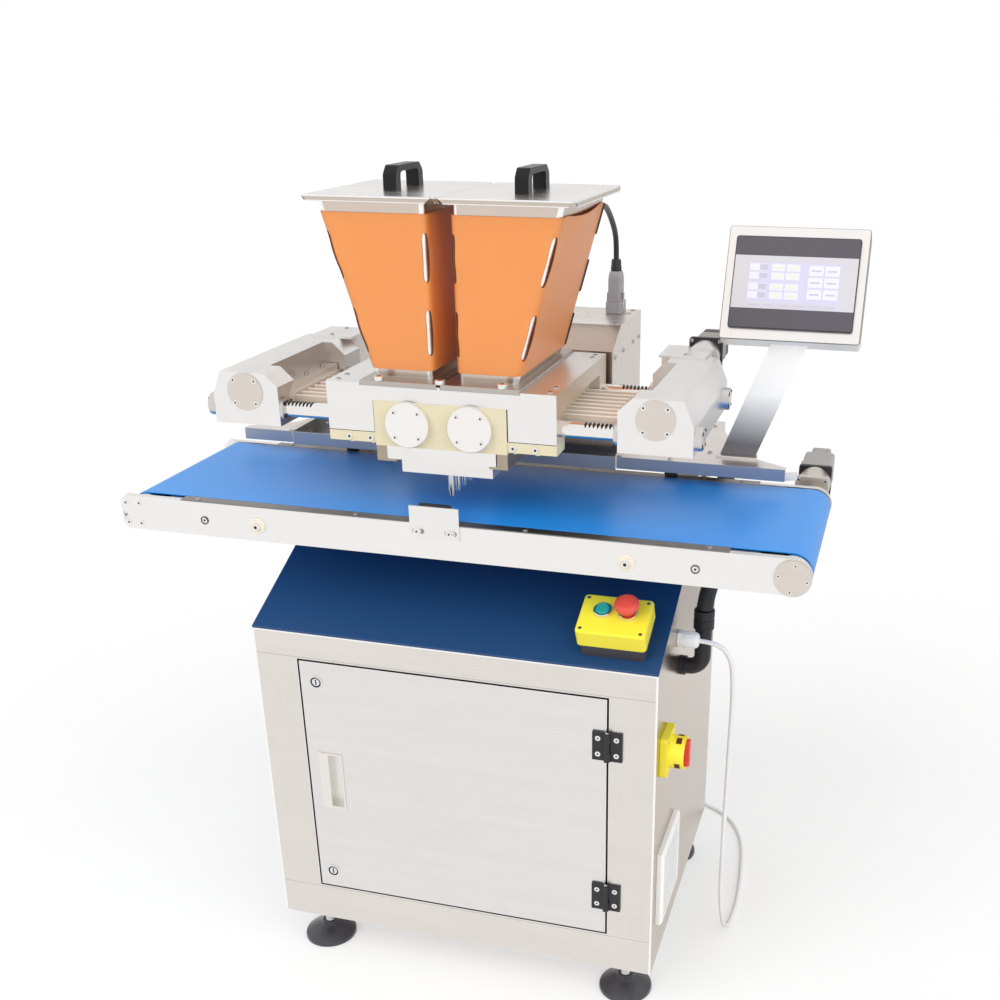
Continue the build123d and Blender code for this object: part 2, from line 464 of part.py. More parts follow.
def tube(name, points, radius):
    radii = route_radii(points)
    path = FilletPolyline(*points, radius=radii)
    print(name, "length", round(path.length), "least radius", round(min(radii), 1))
    print(name, "runs", [round((Vector(b) - Vector(a)).length) for a, b in zip(points, points[1:])])
    start = Plane(origin=points[0], z_dir=Vector(points[1]) - Vector(points[0]))
    return sweep(start * Circle(radius), path=path)


# Mains lead: out of the gland, down to the floor and round behind the cabinet
floor_z = LEAD_R + 0.2
lead_points = [
    (side_x + 30, GLAND_Y, GLAND_Z),
    (side_x + 66, GLAND_Y, GLAND_Z),
    (side_x + 88, GLAND_Y + 7, GLAND_Z - 26),
    (side_x + 93, GLAND_Y + 17, GLAND_Z - 70),
    (side_x + 93, 183, 530),
    (side_x + 91, 189, 450),
    (side_x + 90, 193, 370),
    (side_x + 88, 199, 290),
    (side_x + 88, 202, 210),
    (side_x + 87, 208, 130),
    (side_x + 90, 218, 68),
    (side_x + 94, 239, 25),
    (side_x + 99, 276, floor_z + 0.1),
    (side_x + 103, 333, floor_z),
    (side_x + 101, 398, floor_z),
    (side_x + 95, 462, floor_z),
    (side_x + 88, 526, floor_z),
    (side_x + 72, 588, floor_z),
    (side_x + 38, 646, floor_z),
    (side_x - 14, 680, floor_z),
    (side_x - 72, 696, floor_z),
    (side_x - 136, 698, floor_z),
    (COIL_AT[0] + 2 * LEAD_R, COIL_AT[1] + COIL_OUT, floor_z),
]
keep("mains_lead", tube("mains_lead", lead_points, LEAD_R))


def coil_point(r, half_turn, z):
    angle = math.radians(90 + 180 * half_turn)
    return Vector(COIL_AT[0] + r * math.cos(angle), COIL_AT[1] + r * math.sin(angle), z)


# Wound-up lead: spirals in on the floor layer, climbs, spirals out on the upper layer
half_turns = 2 * COIL_TURNS
spots = []
for k in range(half_turns + 1):
    spots.append((COIL_OUT - k * COIL_STEP / 2, k, floor_z))
inner_r = spots[-1][0]
for k in range(half_turns + 1):
    spots.append((inner_r + k * COIL_STEP / 2, half_turns + 1 + k, floor_z + COIL_LIFT))
first = coil_point(*spots[0])
heading = Vector(-1, 0, 0)
edges = [Edge.make_line(first - heading * 2 * LEAD_R, first)]
for k in range(len(spots) - 1):
    a, b = coil_point(*spots[k]), coil_point(*spots[k + 1])
    if spots[k][2] == spots[k + 1][2]:
        edges.append(Edge.make_tangent_arc(a, heading, b))
    else:
        rise = COIL_LIFT / 2
        crown = math.sqrt(inner_r ** 2 + rise ** 2)
        mid = coil_point(crown, spots[k][1] + 0.5, floor_z + rise)
        edges.append(Edge.make_tangent_arc(a, heading, mid))
        edges.append(Edge.make_tangent_arc(mid, edges[-1] % 1, b))
    heading = edges[-1] % 1
last = coil_point(*spots[-1])
edges.append(Edge.make_line(last, last + heading * COIL_TAIL))
coil_path = Wire(edges)
MARKS = 1200
marks = [coil_path @ (k / MARKS) for k in range(MARKS + 1)]
skip = int(4 * LEAD_R * MARKS / coil_path.length) + 2
gap = min((marks[i] - marks[j]).length for i in range(0, MARKS + 1, 3) for j in range(i + skip, MARKS + 1))
print("mains_coil length", round(coil_path.length), "least gap", round(gap - 2 * LEAD_R, 2))
coil_start = Plane(origin=coil_path @ 0, z_dir=coil_path % 0)
keep("mains_coil", sweep(coil_start * Circle(LEAD_R), path=coil_path))

# Moulded plug lying on the floor at the end of the coil
plug_at = coil_path @ 1
body_x0 = plug_at.X + PLUG_SLEEVE
body_x1 = body_x0 + PLUG_L
plug_z1 = 2 * plug_at.Z - 0.2
sleeve = Rot(0, 90, 0) * Cone(LEAD_R + 1, PLUG_EDGE, PLUG_SLEEVE)
plug = Pos(plug_at.X + PLUG_SLEEVE / 2, plug_at.Y, plug_at.Z) * sleeve
body = block(body_x0, body_x1, plug_at.Y - PLUG_HALF_W, plug_at.Y + PLUG_HALF_W, 0.2, plug_z1)
plug += fillet(body.edges().filter_by(Axis.X), PLUG_EDGE)
for offset in (-PLUG_PIN_SPAN / 2, PLUG_PIN_SPAN / 2):
    plug += bar_x(PLUG_PIN_R, body_x1 - CUT, body_x1 + PLUG_PIN_L, plug_at.Y + offset, plug_at.Z)
keep("mains_plug", plug)

# Cable conduit: wall elbow, union and hose up to a gland under the deck
elbow_points = [(side_x, ELBOW_Y, ELBOW_Z), (ELBOW_X, ELBOW_Y, ELBOW_Z), (ELBOW_X, ELBOW_Y, UNION_Z0 + CUT)]
elbow_path = FilletPolyline(*elbow_points, radius=ELBOW_BEND)
elbow_start = Plane(origin=(side_x, ELBOW_Y, ELBOW_Z), z_dir=(1, 0, 0))
elbow = sweep(elbow_start * Circle(ELBOW_R), path=elbow_path)
elbow += bar_x(COLLAR_R, side_x, side_x + COLLAR_X, ELBOW_Y, ELBOW_Z)
elbow += bar_z(UNION_R, UNION_Z0, UNION_Z1, ELBOW_X, ELBOW_Y)
hose_points = [
    (ELBOW_X, ELBOW_Y, UNION_Z1),
    (ELBOW_X + 2, ELBOW_Y + 4, 731),
    (ELBOW_X + 12, ELBOW_Y + 23, 764),
    (ELBOW_X + 26, ELBOW_Y + 67, 788),
    (ELBOW_X + 34, ELBOW_Y + 120, 797),
    (ELBOW_X + 32, ELBOW_Y + 173, 803),
    (ELBOW_X + 18, ELBOW_Y + 221, 816),
    (ELBOW_X - 6, ELBOW_Y + 257, 840),
    (ELBOW_X - 29, ELBOW_Y + 278, 874),
    (DECK_GLAND_X, DECK_GLAND_Y, DECK_GLAND_Z),
]
hose = tube("cable_conduit", hose_points, CONDUIT_R)
deck_gland = bar_z(DECK_GLAND_R, DECK_GLAND_Z, DECK_Z0, DECK_GLAND_X, DECK_GLAND_Y)
keep("cable_conduit", elbow, hose, deck_gland)

# Belt conveyor: two rails, end caps, tie bars and rear brackets
rail_mid = (RAIL_Z0 + RAIL_Z1) / 2
rail_r = (RAIL_Z1 - RAIL_Z0) / 2
rail_end = RAIL_X1 - rail_r
rail_line = [
    (RAIL_X0 + RAIL_CORNER, RAIL_Z0),
    (rail_end, RAIL_Z0),
    (rail_end, RAIL_Z1),
    (RAIL_X0 + RAIL_CORNER, RAIL_Z1),
    (RAIL_X0, RAIL_Z1 - RAIL_CORNER),
    (RAIL_X0, RAIL_Z0 + RAIL_CORNER),
]
front_rail = prism_y(rail_line, 0, RAIL_T) + bar_y(rail_r, 0, RAIL_T, rail_end, rail_mid)
front_rail -= block(END_SLOT_X0, END_SLOT_X1, -CUT, END_SLOT_DEEP, END_SLOT_Z0, END_SLOT_Z1)
rear_rail = prism_y(rail_line, REAR_RAIL_Y, REAR_BACK)
rear_rail += bar_y(rail_r, REAR_RAIL_Y, REAR_BACK, rail_end, rail_mid)
bearing_r = JOURNAL_R + FIT
for x in (IDLER_X, DRIVE_X):
    front_rail -= bar_y(bearing_r, JOURNAL_BLIND, RAIL_T + CUT, x, AXLE_Z)
rear_rail -= bar_y(bearing_r, REAR_RAIL_Y - CUT, REAR_BACK - JOURNAL_BLIND, IDLER_X, AXLE_Z)
rear_rail -= bar_y(bearing_r, REAR_RAIL_Y - CUT, REAR_BACK + CUT, DRIVE_X, AXLE_Z)
caps = [
    bar_y(CAP_R, -CAP_T, 0, CAP_X, CAP_Z),
    bar_y(REAR_CAP_R, REAR_BACK, REAR_BACK + CAP_T, IDLER_X, AXLE_Z),
]
ties = [bar_y(TIE_R, RAIL_T, REAR_RAIL_Y, x, AXLE_Z) for x in TIE_XS]
brackets = []
for x in BRACKET_XS:
    x0, x1 = x - BRACKET_HALF_W, x + BRACKET_HALF_W
    bracket = block(x0, x1, REAR_BACK, REAR_BACK + BRACKET_T, cab_top, BRACKET_TOP)
    bracket += block(x0, x1, REAR_BACK, REAR_BACK + BRACKET_FOOT, cab_top, cab_top + BRACKET_T)
    brackets.append(bracket)
keep("conveyor_frame", front_rail, rear_rail, caps, ties, brackets)

# Slider bed under the belt and the two edge strips, which stop short of the rollers
bed = block(BED_X0, BED_X1, RAIL_T, REAR_RAIL_Y, BED_Z0, BED_Z1)
front_strip = block(STRIP_X0, STRIP_X1, STRIP_Y0, STRIP_Y1, RAIL_Z1, RAIL_Z1 + STRIP_T)
rear_strip = block(
    STRIP_X0, STRIP_X1, REAR_BACK - STRIP_Y1, REAR_BACK - STRIP_Y0, RAIL_Z1, RAIL_Z1 + STRIP_T)
keep("conveyor_bed", bed, front_strip, rear_strip)


def stadium(r, y0, y1):
    loop = block(IDLER_X, DRIVE_X, y0, y1, AXLE_Z - r, AXLE_Z + r)
    return loop + bar_y(r, y0, y1, IDLER_X, AXLE_Z) + bar_y(r, y0, y1, DRIVE_X, AXLE_Z)


# Endless belt
belt = stadium(BELT_OUT_R, BELT_Y0, BELT_Y1)
belt -= stadium(BELT_OUT_R - BELT_T, BELT_Y0 - CUT, BELT_Y1 + CUT)
keep("conveyor_belt", belt)

# Rollers with journals running in the rails
drive = bar_y(ROLLER_R, ROLLER_Y0, ROLLER_Y1, DRIVE_X, AXLE_Z)
drive += bar_y(JOURNAL_R, JOURNAL_Y0, DRIVE_SHAFT_END, DRIVE_X, AXLE_Z)
keep("drive_roller", drive)
idler = bar_y(ROLLER_R, ROLLER_Y0, ROLLER_Y1, IDLER_X, AXLE_Z)
idler += bar_y(JOURNAL_R, JOURNAL_Y0, REAR_BACK - JOURNAL_Y0, IDLER_X, AXLE_Z)
keep("idler_roller", idler)

# Mould sensor on its plate
sensor = block(SENSOR_X0, SENSOR_X1, -SENSOR_T, 0, SENSOR_Z0, SENSOR_Z1)
sensor += block(EYE_X0, EYE_X1, 0, EYE_DEEP, EYE_Z0, EYE_Z1)
keep("sensor_bracket", sensor)

# Conveyor gearmotor on the rear rail
motor = bar_y(GM_BOSS_R, REAR_BACK, GM_FLANGE_Y + CUT, DRIVE_X, AXLE_Z)
motor += square_y(GM_FLANGE, GM_FLANGE_Y, GM_HEAD_Y, GM_X, GM_Z)
motor += bar_y(GM_FLANGE / 2, GM_HEAD_Y - CUT, GM_MOTOR_Y + CUT, GM_X, GM_Z)
motor += square_y(GM_FLANGE, GM_MOTOR_Y, GM_GROOVE_Y, GM_X, GM_Z)
motor += square_y(GM_GROOVE, GM_GROOVE_Y - CUT, GM_BODY_Y + CUT, GM_X, GM_Z)
motor += square_y(GM_BODY, GM_BODY_Y, GM_END_Y, GM_X, GM_Z)
end_x0, end_x1 = GM_X - GM_END_W / 2, GM_X + GM_END_W / 2
motor += block(end_x0, end_x1, GM_END_Y - CUT, GM_BACK, GM_Z - GM_END_H / 2, GM_Z + GM_END_H / 2)
motor -= bar_y(bearing_r, REAR_BACK - CUT, DRIVE_SHAFT_END + CUT, DRIVE_X, AXLE_Z)
keep("conveyor_gearmotor", motor)

# Deck with front lip, tray opening and legs
deck_line = [(-DECK_HALF_W, DECK_FRONT), (DECK_HALF_W, DECK_FRONT)] + list(DECK_SIDE)
deck_line += [(-x, y) for x, y in reversed(DECK_SIDE)]
deck = prism_z(deck_line, DECK_Z0, DECK_Z1)
lip_z = DECK_Z0 - LIP_DROP
deck += block(-DECK_HALF_W, DECK_HALF_W, DECK_FRONT, DECK_FRONT + DECK_SHEET, lip_z, DECK_Z1)
hole_x0, hole_x1 = TRAY_X0 - TRAY_GAP, TRAY_X1 + TRAY_GAP
deck -= block(hole_x0, hole_x1, DECK_FRONT - CUT, TRAY_BACK + TRAY_GAP, lip_z - CUT, DECK_Z1 + CUT)
legs = []
for x in LEG_XS:
    for y in LEG_YS:
        legs.append(block(x - LEG_HALF, x + LEG_HALF, y - LEG_HALF, y + LEG_HALF, cab_top, DECK_Z0))
keep("deck_plate", deck, legs)

# Drip tray hung in the deck opening
inside_x0, inside_x1 = TRAY_X0 + TRAY_T, TRAY_X1 - TRAY_T
tray = block(TRAY_X0, TRAY_X1, TRAY_Y0, TRAY_BACK, TRAY_FLOOR, DECK_Z1)
tray -= block(inside_x0, inside_x1, TRAY_Y0 + TRAY_T, TRAY_BACK - TRAY_T, TRAY_FLOOR + TRAY_T, DECK_Z1 + CUT)
rim_x0, rim_x1 = TRAY_X0 - TRAY_RIM, TRAY_X1 + TRAY_RIM
rim_y0 = DECK_FRONT + DECK_SHEET + CUT
rim = block(rim_x0, rim_x1, rim_y0, TRAY_BACK + TRAY_RIM, DECK_Z1, DECK_Z1 + TRAY_T)
rim -= block(inside_x0, inside_x1, rim_y0 - CUT, TRAY_BACK - TRAY_T, DECK_Z1 - CUT, DECK_Z1 + TRAY_T + CUT)
keep("drip_tray", tray + rim)

# Depositing head: top plate with seats for the hopper flanges, four side blocks, rear bracket
piston_ys = [PISTON_MID_Y + (k - (PISTONS - 1) / 2) * PISTON_PITCH for k in range(PISTONS)]
nozzle_ys = [NOZZLE_Y0 + k * NOZZLE_PITCH for k in range(PISTONS)]
plate = block(-HEAD_HALF_W, HEAD_HALF_W, HEAD_Y0, HEAD_Y1, PLATE_Z0, PLATE_Z1)
for x in (-SEAT_X, SEAT_X):
    plate -= block(x - SEAT_HALF_W, x + SEAT_HALF_W, HEAD_Y0 - CUT, HEAD_Y1 + CUT, SEAT_Z, PLATE_Z1 + CUT)
for y in piston_ys:
    for x in (-SPOOL_X, SPOOL_X):
        plate -= bar_z(FEED_R, PLATE_Z0 - CUT, PLATE_Z1 + CUT, x, y)
side_blocks = []
for y0, y1, rod_y in ((HEAD_Y0, SIDE_FRONT_Y1, ROD_YS[0]), (SIDE_REAR_Y0, HEAD_Y1, ROD_YS[1])):
    piece = block(BODY_HALF_W, HEAD_HALF_W, y0, y1, SIDE_BLOCK_Z0, PLATE_Z0)
    piece -= bar_x(ROD_R + FIT, ROD_X0, HEAD_HALF_W + CUT, rod_y, ROD_Z)
    side_blocks += both(piece)
rear_bracket = block(-BACK_HALF_W, BACK_HALF_W, BACK_Y0, BACK_Y1, SIDE_BLOCK_Z0, BACK_TOP)
rear_bracket += block(-BACK_HALF_W, BACK_HALF_W, HEAD_Y1 - 0.1, BACK_Y0 + CUT, PLATE_Z0, BACK_TOP)
for x in (-SPOOL_X, SPOOL_X):
    rear_bracket -= bar_y(STEM_HOLE_R, HEAD_Y1 - CUT, BACK_Y1 + CUT, x, SPOOL_Z)
keep("head_frame", plate + rear_bracket, side_blocks)

# Valve body with spool bores, piston bores, feed holes and outlets
valve = block(-BODY_HALF_W, BODY_HALF_W, BODY_Y0, BODY_Y1, BODY_Z0, PLATE_Z0)
valve += block(-WING_HALF_W, WING_HALF_W, SIDE_FRONT_Y1, SIDE_REAR_Y0, SIDE_BLOCK_Z0, PLATE_Z0)
piston_bore = PISTON_R + FIT
for x in (-SPOOL_X, SPOOL_X):
    valve -= bar_y(SPOOL_R + FIT, BODY_Y0 - CUT, BODY_Y1 + CUT, x, SPOOL_Z)
    for y in piston_ys:
        valve -= bar_z(FEED_R, SPOOL_Z, PLATE_Z0 + CUT, x, y)
        valve -= bar_z(OUTLET_R, BODY_Z0 - CUT, SPOOL_Z, x, y)
for y in piston_ys:
    for bore in both(bar_x(piston_bore, PISTON_BORE_X, WING_HALF_W + CUT, y, ROD_Z)):
        valve -= bore
pads = both(block(BODY_HALF_W, HEAD_HALF_W, HEAD_Y0, SIDE_FRONT_Y1, PAD_Z0, SIDE_BLOCK_Z0))
keep("valve_body", valve, pads)

# Round covers over the spool ends
keep("spool_covers", both(bar_y(COVER_R, BODY_Y0 - COVER_T, BODY_Y0, SPOOL_X, SPOOL_Z)))

# Rotary spools: each notch joins a feed hole to a piston bore, then the bore to an outlet
NOTCH_HALF, NOTCH_IN, NOTCH_SIDE, NOTCH_UP, NOTCH_DOWN, NOTCH_FAR = 6.0, 5.0, 7.0, 4.0, 6.0, 20.0
spool = bar_y(SPOOL_R, SPOOL_Y0, SPOOL_Y1, SPOOL_X, SPOOL_Z)
spool += bar_y(SPOOL_STEM_R, SPOOL_Y1 - CUT, SPOOL_END, SPOOL_X, SPOOL_Z)
for y in piston_ys:
    y0, y1 = y - NOTCH_HALF, y + NOTCH_HALF
    far_x, far_z = SPOOL_X + NOTCH_FAR, SPOOL_Z + NOTCH_FAR
    spool -= block(SPOOL_X - NOTCH_IN, far_x, y0, y1, SPOOL_Z + NOTCH_UP, far_z)
    spool -= block(SPOOL_X + NOTCH_SIDE, far_x, y0, y1, SPOOL_Z - NOTCH_DOWN, SPOOL_Z + 2 * NOTCH_UP)
keep("right_valve_spool", spool)
keep("left_valve_spool", flip(spool))

# Nozzle plates with feed grooves, and the clamp rails that hold them
upper = block(-UPPER_HALF_W, UPPER_HALF_W, UPPER_Y0, UPPER_Y1, LOWER_PLATE_Z1, BODY_Z0)
for piston_y, nozzle_y in zip(piston_ys, nozzle_ys):
    angle = math.degrees(math.atan2(piston_y - nozzle_y, SPOOL_X))
    length = math.hypot(SPOOL_X, piston_y - nozzle_y) + OUTLET_R
    groove_at = Pos(SPOOL_X / 2, (piston_y + nozzle_y) / 2, LOWER_PLATE_Z1 + GROOVE / 3)
    groove = groove_at * Rot(0, 0, angle) * Box(length, GROOVE, GROOVE)
    feed = bar_z(OUTLET_R, LOWER_PLATE_Z1, BODY_Z0 + CUT, SPOOL_X, piston_y)
    for cut in both(groove) + both(feed):
        upper -= cut
lower = block(-LOWER_HALF_W, LOWER_HALF_W, LOWER_Y0, LOWER_Y1, LOWER_PLATE_Z0, LOWER_PLATE_Z1)
for y in nozzle_ys:
    lower -= bar_z(NOZZLE_BORE_R, LOWER_PLATE_Z0 - CUT, LOWER_PLATE_Z1 + CUT, 0, y)
clamp = block(CLAMP_X, BODY_HALF_W, CLAMP_Y0, CLAMP_Y1, LOWER_PLATE_Z1, BODY_Z0)
clamp += block(CLAMP_LIP_X, BODY_HALF_W, CLAMP_Y0, CLAMP_Y1, LOWER_PLATE_Z1 - CLAMP_LIP, LOWER_PLATE_Z1)
keep("nozzle_plates", upper, lower, both(clamp))

# Nozzle row
nozzles = []
step_z = NOZZLE_TIP + NOZZLE_STEP
for y in nozzle_ys:
    nozzle = bar_z(NOZZLE_R, step_z, LOWER_PLATE_Z0, 0, y)
    nozzle += bar_z(NOZZLE_TIP_R, NOZZLE_TIP, step_z + CUT, 0, y)
    nozzles.append(nozzle - bar_z(NOZZLE_BORE_R, NOZZLE_TIP - CUT, LOWER_PLATE_Z0 + CUT, 0, y))
keep("nozzles", nozzles)

# Toothed rods fixed in the head
tooth_pitch = math.pi * MODULE
pitch_z = RACK_TIP_Z - MODULE
rack_y0, rack_y1 = ROD_YS[0] - 20, ROD_YS[0] + 20
rod = bar_x(ROD_R, ROD_X0, ROD_X1, ROD_YS[0], ROD_Z)
rod -= block(RACK_X0, RACK_X1, rack_y0, rack_y1, RACK_TIP_Z, RACK_TIP_Z + 5)
slant = math.tan(math.radians(PRESSURE_DEG))
low = tooth_pitch / 4 + 0.1 - 1.25 * MODULE * slant
high = tooth_pitch / 4 + 0.1 + 2 * MODULE * slant
foot_z = pitch_z - 1.25 * MODULE
open_z = pitch_z + 2 * MODULE
for k in range(-TEETH_INSIDE, TEETH_OUTSIDE + 1):
    x = PINION_X + k * tooth_pitch
    gap_line = [(x - low, foot_z), (x + low, foot_z), (x + high, open_z), (x - high, open_z)]
    rod -= prism_y(gap_line, rack_y0, rack_y1)
rear_rod = Pos(0, ROD_YS[1] - ROD_YS[0], 0) * rod
keep("rack_rods", both(rod), both(rear_rod))


def gear(module, teeth, y0, y1, x, z, tooth_at):
    pressure = math.radians(PRESSURE_DEG)
    pitch_r = module * teeth / 2
    base_r = pitch_r * math.cos(pressure)
    flank = [pitch_r - 1.25 * module, base_r + 0.05, pitch_r, pitch_r + 0.5 * module, pitch_r + module]
    flat = math.tan(pressure) - pressure
    points = []
    for k in range(teeth):
        middle = math.radians(tooth_at) + 2 * math.pi * k / teeth
        sides = []
        for r in flank:
            press = math.acos(min(1.0, base_r / r))
            half = math.pi / (2 * teeth) - 0.05 / pitch_r + flat - (math.tan(press) - press)
            sides.append((r, half))
        for r, half in sides:
            points.append((x + r * math.cos(middle - half), z + r * math.sin(middle - half)))
        for r, half in reversed(sides):
            points.append((x + r * math.cos(middle + half), z + r * math.sin(middle + half)))
    return prism_y(points, y0, y1)


pinion_spans = [(y - PINION_W / 2, y + PINION_W / 2) for y in ROD_YS]


# Pinion shaft: two pinions on the rods and the reduction gear behind
def pinion_shaft(line_deg):
    shaft = bar_y(SHAFT_R, SHAFT_Y0, SHAFT_Y1, PINION_X, PINION_Z)
    for y0, y1 in pinion_spans:
        shaft += gear(MODULE, PINION_TEETH, y0, y1, PINION_X, PINION_Z, -90)
    return shaft + gear(FINE_MODULE, GEAR_TEETH, GEAR_Y0, GEAR_Y1, PINION_X, PINION_Z, line_deg)


# Small gear on the servo shaft
def servo_gear(motor_z, line_deg):
    tooth_at = line_deg + 180 + 180 / MOTOR_TEETH
    stem = bar_y(MOTOR_SHAFT_R, MOTOR_SHAFT_Y0, MOTOR_SHAFT_Y1, MOTOR_X, motor_z)
    return stem + gear(FINE_MODULE, MOTOR_TEETH, GEAR_Y0, GEAR_Y1, MOTOR_X, motor_z, tooth_at)


# Carriage housing with rod bores, pinion chambers and the piston pocket
def carriage_block():
    car_line = [
        (CAR_X0, CAR_Z0),
        (CAR_X1, CAR_Z0),
        (CAR_X1, CAR_OUT_Z),
        (CAR_OUT_X, CAR_Z1),
        (CAR_IN_X, CAR_Z1),
        (CAR_X0, CAR_IN_Z),
    ]
    car = prism_y(car_line, CAR_Y0, CAR_Y1)
    car -= block(CAR_X0 - CUT, POCKET_X, POCKET_Y0, POCKET_Y1, POCKET_FLOOR, CAR_Z1 + CUT)
    car -= bar_y(SHAFT_R + FIT, CAR_Y0 - CUT, CAR_Y1 + CUT, PINION_X, PINION_Z)
    chamber_r = MODULE * (PINION_TEETH / 2 + 1) + 0.6
    for rod_y, (y0, y1) in zip(ROD_YS, pinion_spans):
        car -= bar_x(ROD_R + FIT, CAR_X0 - CUT, CAR_X1 + CUT, rod_y, ROD_Z)
        car -= bar_y(chamber_r, y0 - CUT, y1 + CUT, PINION_X, PINION_Z)
    return car


# Bearing cap on the front and bushes where the rods pass
def carriage_trim():
    trim = [bar_y(BEARING_R, CAR_Y0 - BEARING_T, CAR_Y0, PINION_X, PINION_Z)]
    for rod_y in ROD_YS:
        bore = bar_x(ROD_R + FIT, CAR_X0 - IN_BUSH_L - CUT, CAR_X1 + OUT_BUSH_L + CUT, rod_y, ROD_Z)
        trim.append(bar_x(IN_BUSH_R, CAR_X0 - IN_BUSH_L, CAR_X0, rod_y, ROD_Z) - bore)
        trim.append(bar_x(OUT_BUSH_R, CAR_X1, CAR_X1 + OUT_BUSH_L, rod_y, ROD_Z) - bore)
    return trim


# Gear case behind the carriage, with the boss that carries the servo
def gear_case(motor_z, case_z0):
    case = block(CASE_X0, CASE_X1, CAR_Y1, CASE_Y1, case_z0, CAR_Z1)
    case += block(CASE_X0, CASE_X1, CASE_LID_Y0, CASE_LID_Y1, CAR_Z1, CASE_LID_Z)
    case += bar_y(HEAD_BOSS_R, HEAD_BOSS_Y0, SERVO_Y0, MOTOR_X, motor_z)
    case -= bar_y(GEAR_CHAMBER_R, CHAMBER_Y0, CHAMBER_Y1, PINION_X, PINION_Z)
    case -= bar_y(MOTOR_CHAMBER_R, CHAMBER_Y0, CHAMBER_Y1, MOTOR_X, motor_z)
    case -= bar_y(SHAFT_R + FIT, CAR_Y1 - CUT, SHAFT_Y1 + 2 * CUT, PINION_X, PINION_Z)
    case -= bar_y(MOTOR_SHAFT_R + FIT, MOTOR_SHAFT_Y0 - CUT, SERVO_Y0 + CUT, MOTOR_X, motor_z)
    return case


def servo_motor(motor_z):
    servo = square_y(SERVO_FLANGE, SERVO_Y0, SERVO_Y0 + SERVO_FLANGE_T, MOTOR_X, motor_z)
    return servo + square_y(SERVO_BODY, SERVO_Y0 + SERVO_FLANGE_T - CUT, SERVO_Y1, MOTOR_X, motor_z)


# Right drive with its servo above the pinion shaft, left drive with its servo below
right_line = math.degrees(math.atan2(MOTOR_RISE, MOTOR_X - PINION_X))
high_z, low_z = PINION_Z + MOTOR_RISE, PINION_Z - MOTOR_RISE
keep("right_pinion_shaft", pinion_shaft(right_line))
keep("right_motor_gear", servo_gear(high_z, right_line))
keep("right_carriage", [carriage_block(), gear_case(high_z, CASE_Z0)] + carriage_trim())
keep("right_servo", servo_motor(high_z))
keep("left_pinion_shaft", flip(pinion_shaft(-right_line)))
keep("left_motor_gear", flip(servo_gear(low_z, -right_line)))
left_parts = [carriage_block(), gear_case(low_z, LOW_CASE_Z0)] + carriage_trim()
keep("left_carriage", [flip(piece) for piece in left_parts])
keep("left_servo", flip(servo_motor(low_z)))

# Pistons and the bar that draws them
rods = [bar_x(PISTON_R, PISTON_TIP, PISTON_BAR_X, y, ROD_Z) for y in piston_ys]
bar_y0, bar_y1 = POCKET_Y0 + 2, POCKET_Y1 - 2
draw_bar = block(PISTON_BAR_X, POCKET_X, bar_y0, bar_y1, POCKET_FLOOR, BAR_TOP)
draw_bar += block(PISTON_BAR_X + BAR_STEP, POCKET_X, bar_y0, bar_y1, BAR_TOP - CUT, BAR_STEP_TOP)
keep("right_pistons", rods, draw_bar)
keep("left_pistons", [flip(piece) for piece in rods], flip(draw_bar))

# Hoppers: open tapered shells on flanges
hop_lean = (HOP_X1_TOP - HOP_X1_LOW) / (HOP_Z1 - HOP_Z0)


def hopper_side(z):
    return HOP_X1_LOW + hop_lean * (z - HOP_Z0)


def hopper_solid(grow, z0, z1):
    faces = []
    for z in (z0, z1):
        x0, x1 = HOP_X0 - grow, hopper_side(z) + grow
        rectangle = RectangleRounded(x1 - x0, HOP_Y1 - HOP_Y0 + 2 * grow, HOP_CORNER + grow)
        faces.append(Pos((x0 + x1) / 2, (HOP_Y0 + HOP_Y1) / 2, z) * rectangle)
    return loft(faces, ruled=True)


hopper = hopper_solid(0, HOP_Z0, HOP_Z1)
hopper += block(HOP_FLANGE_X0, HOP_FLANGE_X1, HEAD_Y0, HEAD_Y1, SEAT_Z, HOP_Z0)
hopper -= hopper_solid(-HOP_WALL, SEAT_Z - 4 * CUT, HOP_Z1 + 4 * CUT)
keep("hoppers", both(hopper))

# Silicone heating jackets with two slots at each corner
jacket = hopper_solid(JACKET_T, JACKET_Z0, JACKET_Z1)
jacket -= hopper_solid(0, JACKET_Z0 - 2 * CUT, JACKET_Z1 + 2 * CUT)
for z0, z1 in SLOT_ZS:
    for y in (HOP_Y0, HOP_Y1):
        jacket -= block(HOP_X0 - SLOT_OUT, HOP_X0 + SLOT_IN, y - SLOT_IN, y + SLOT_IN, z0, z1)
        x0, x1 = hopper_side(z0), hopper_side(z1)
        edge_line = [(x0 - SLOT_IN, z0), (x0 + SLOT_OUT, z0), (x1 + SLOT_OUT, z1), (x1 - SLOT_IN, z1)]
        jacket -= prism_y(edge_line, y - SLOT_IN, y + SLOT_IN)
cable_boss = bar_y(CABLE_BOSS_R, HOP_Y1 + CUT, HOP_Y1 + CABLE_BOSS_L, CABLE_X, CABLE_Z)
keep("hopper_jackets", jacket + cable_boss, flip(jacket))

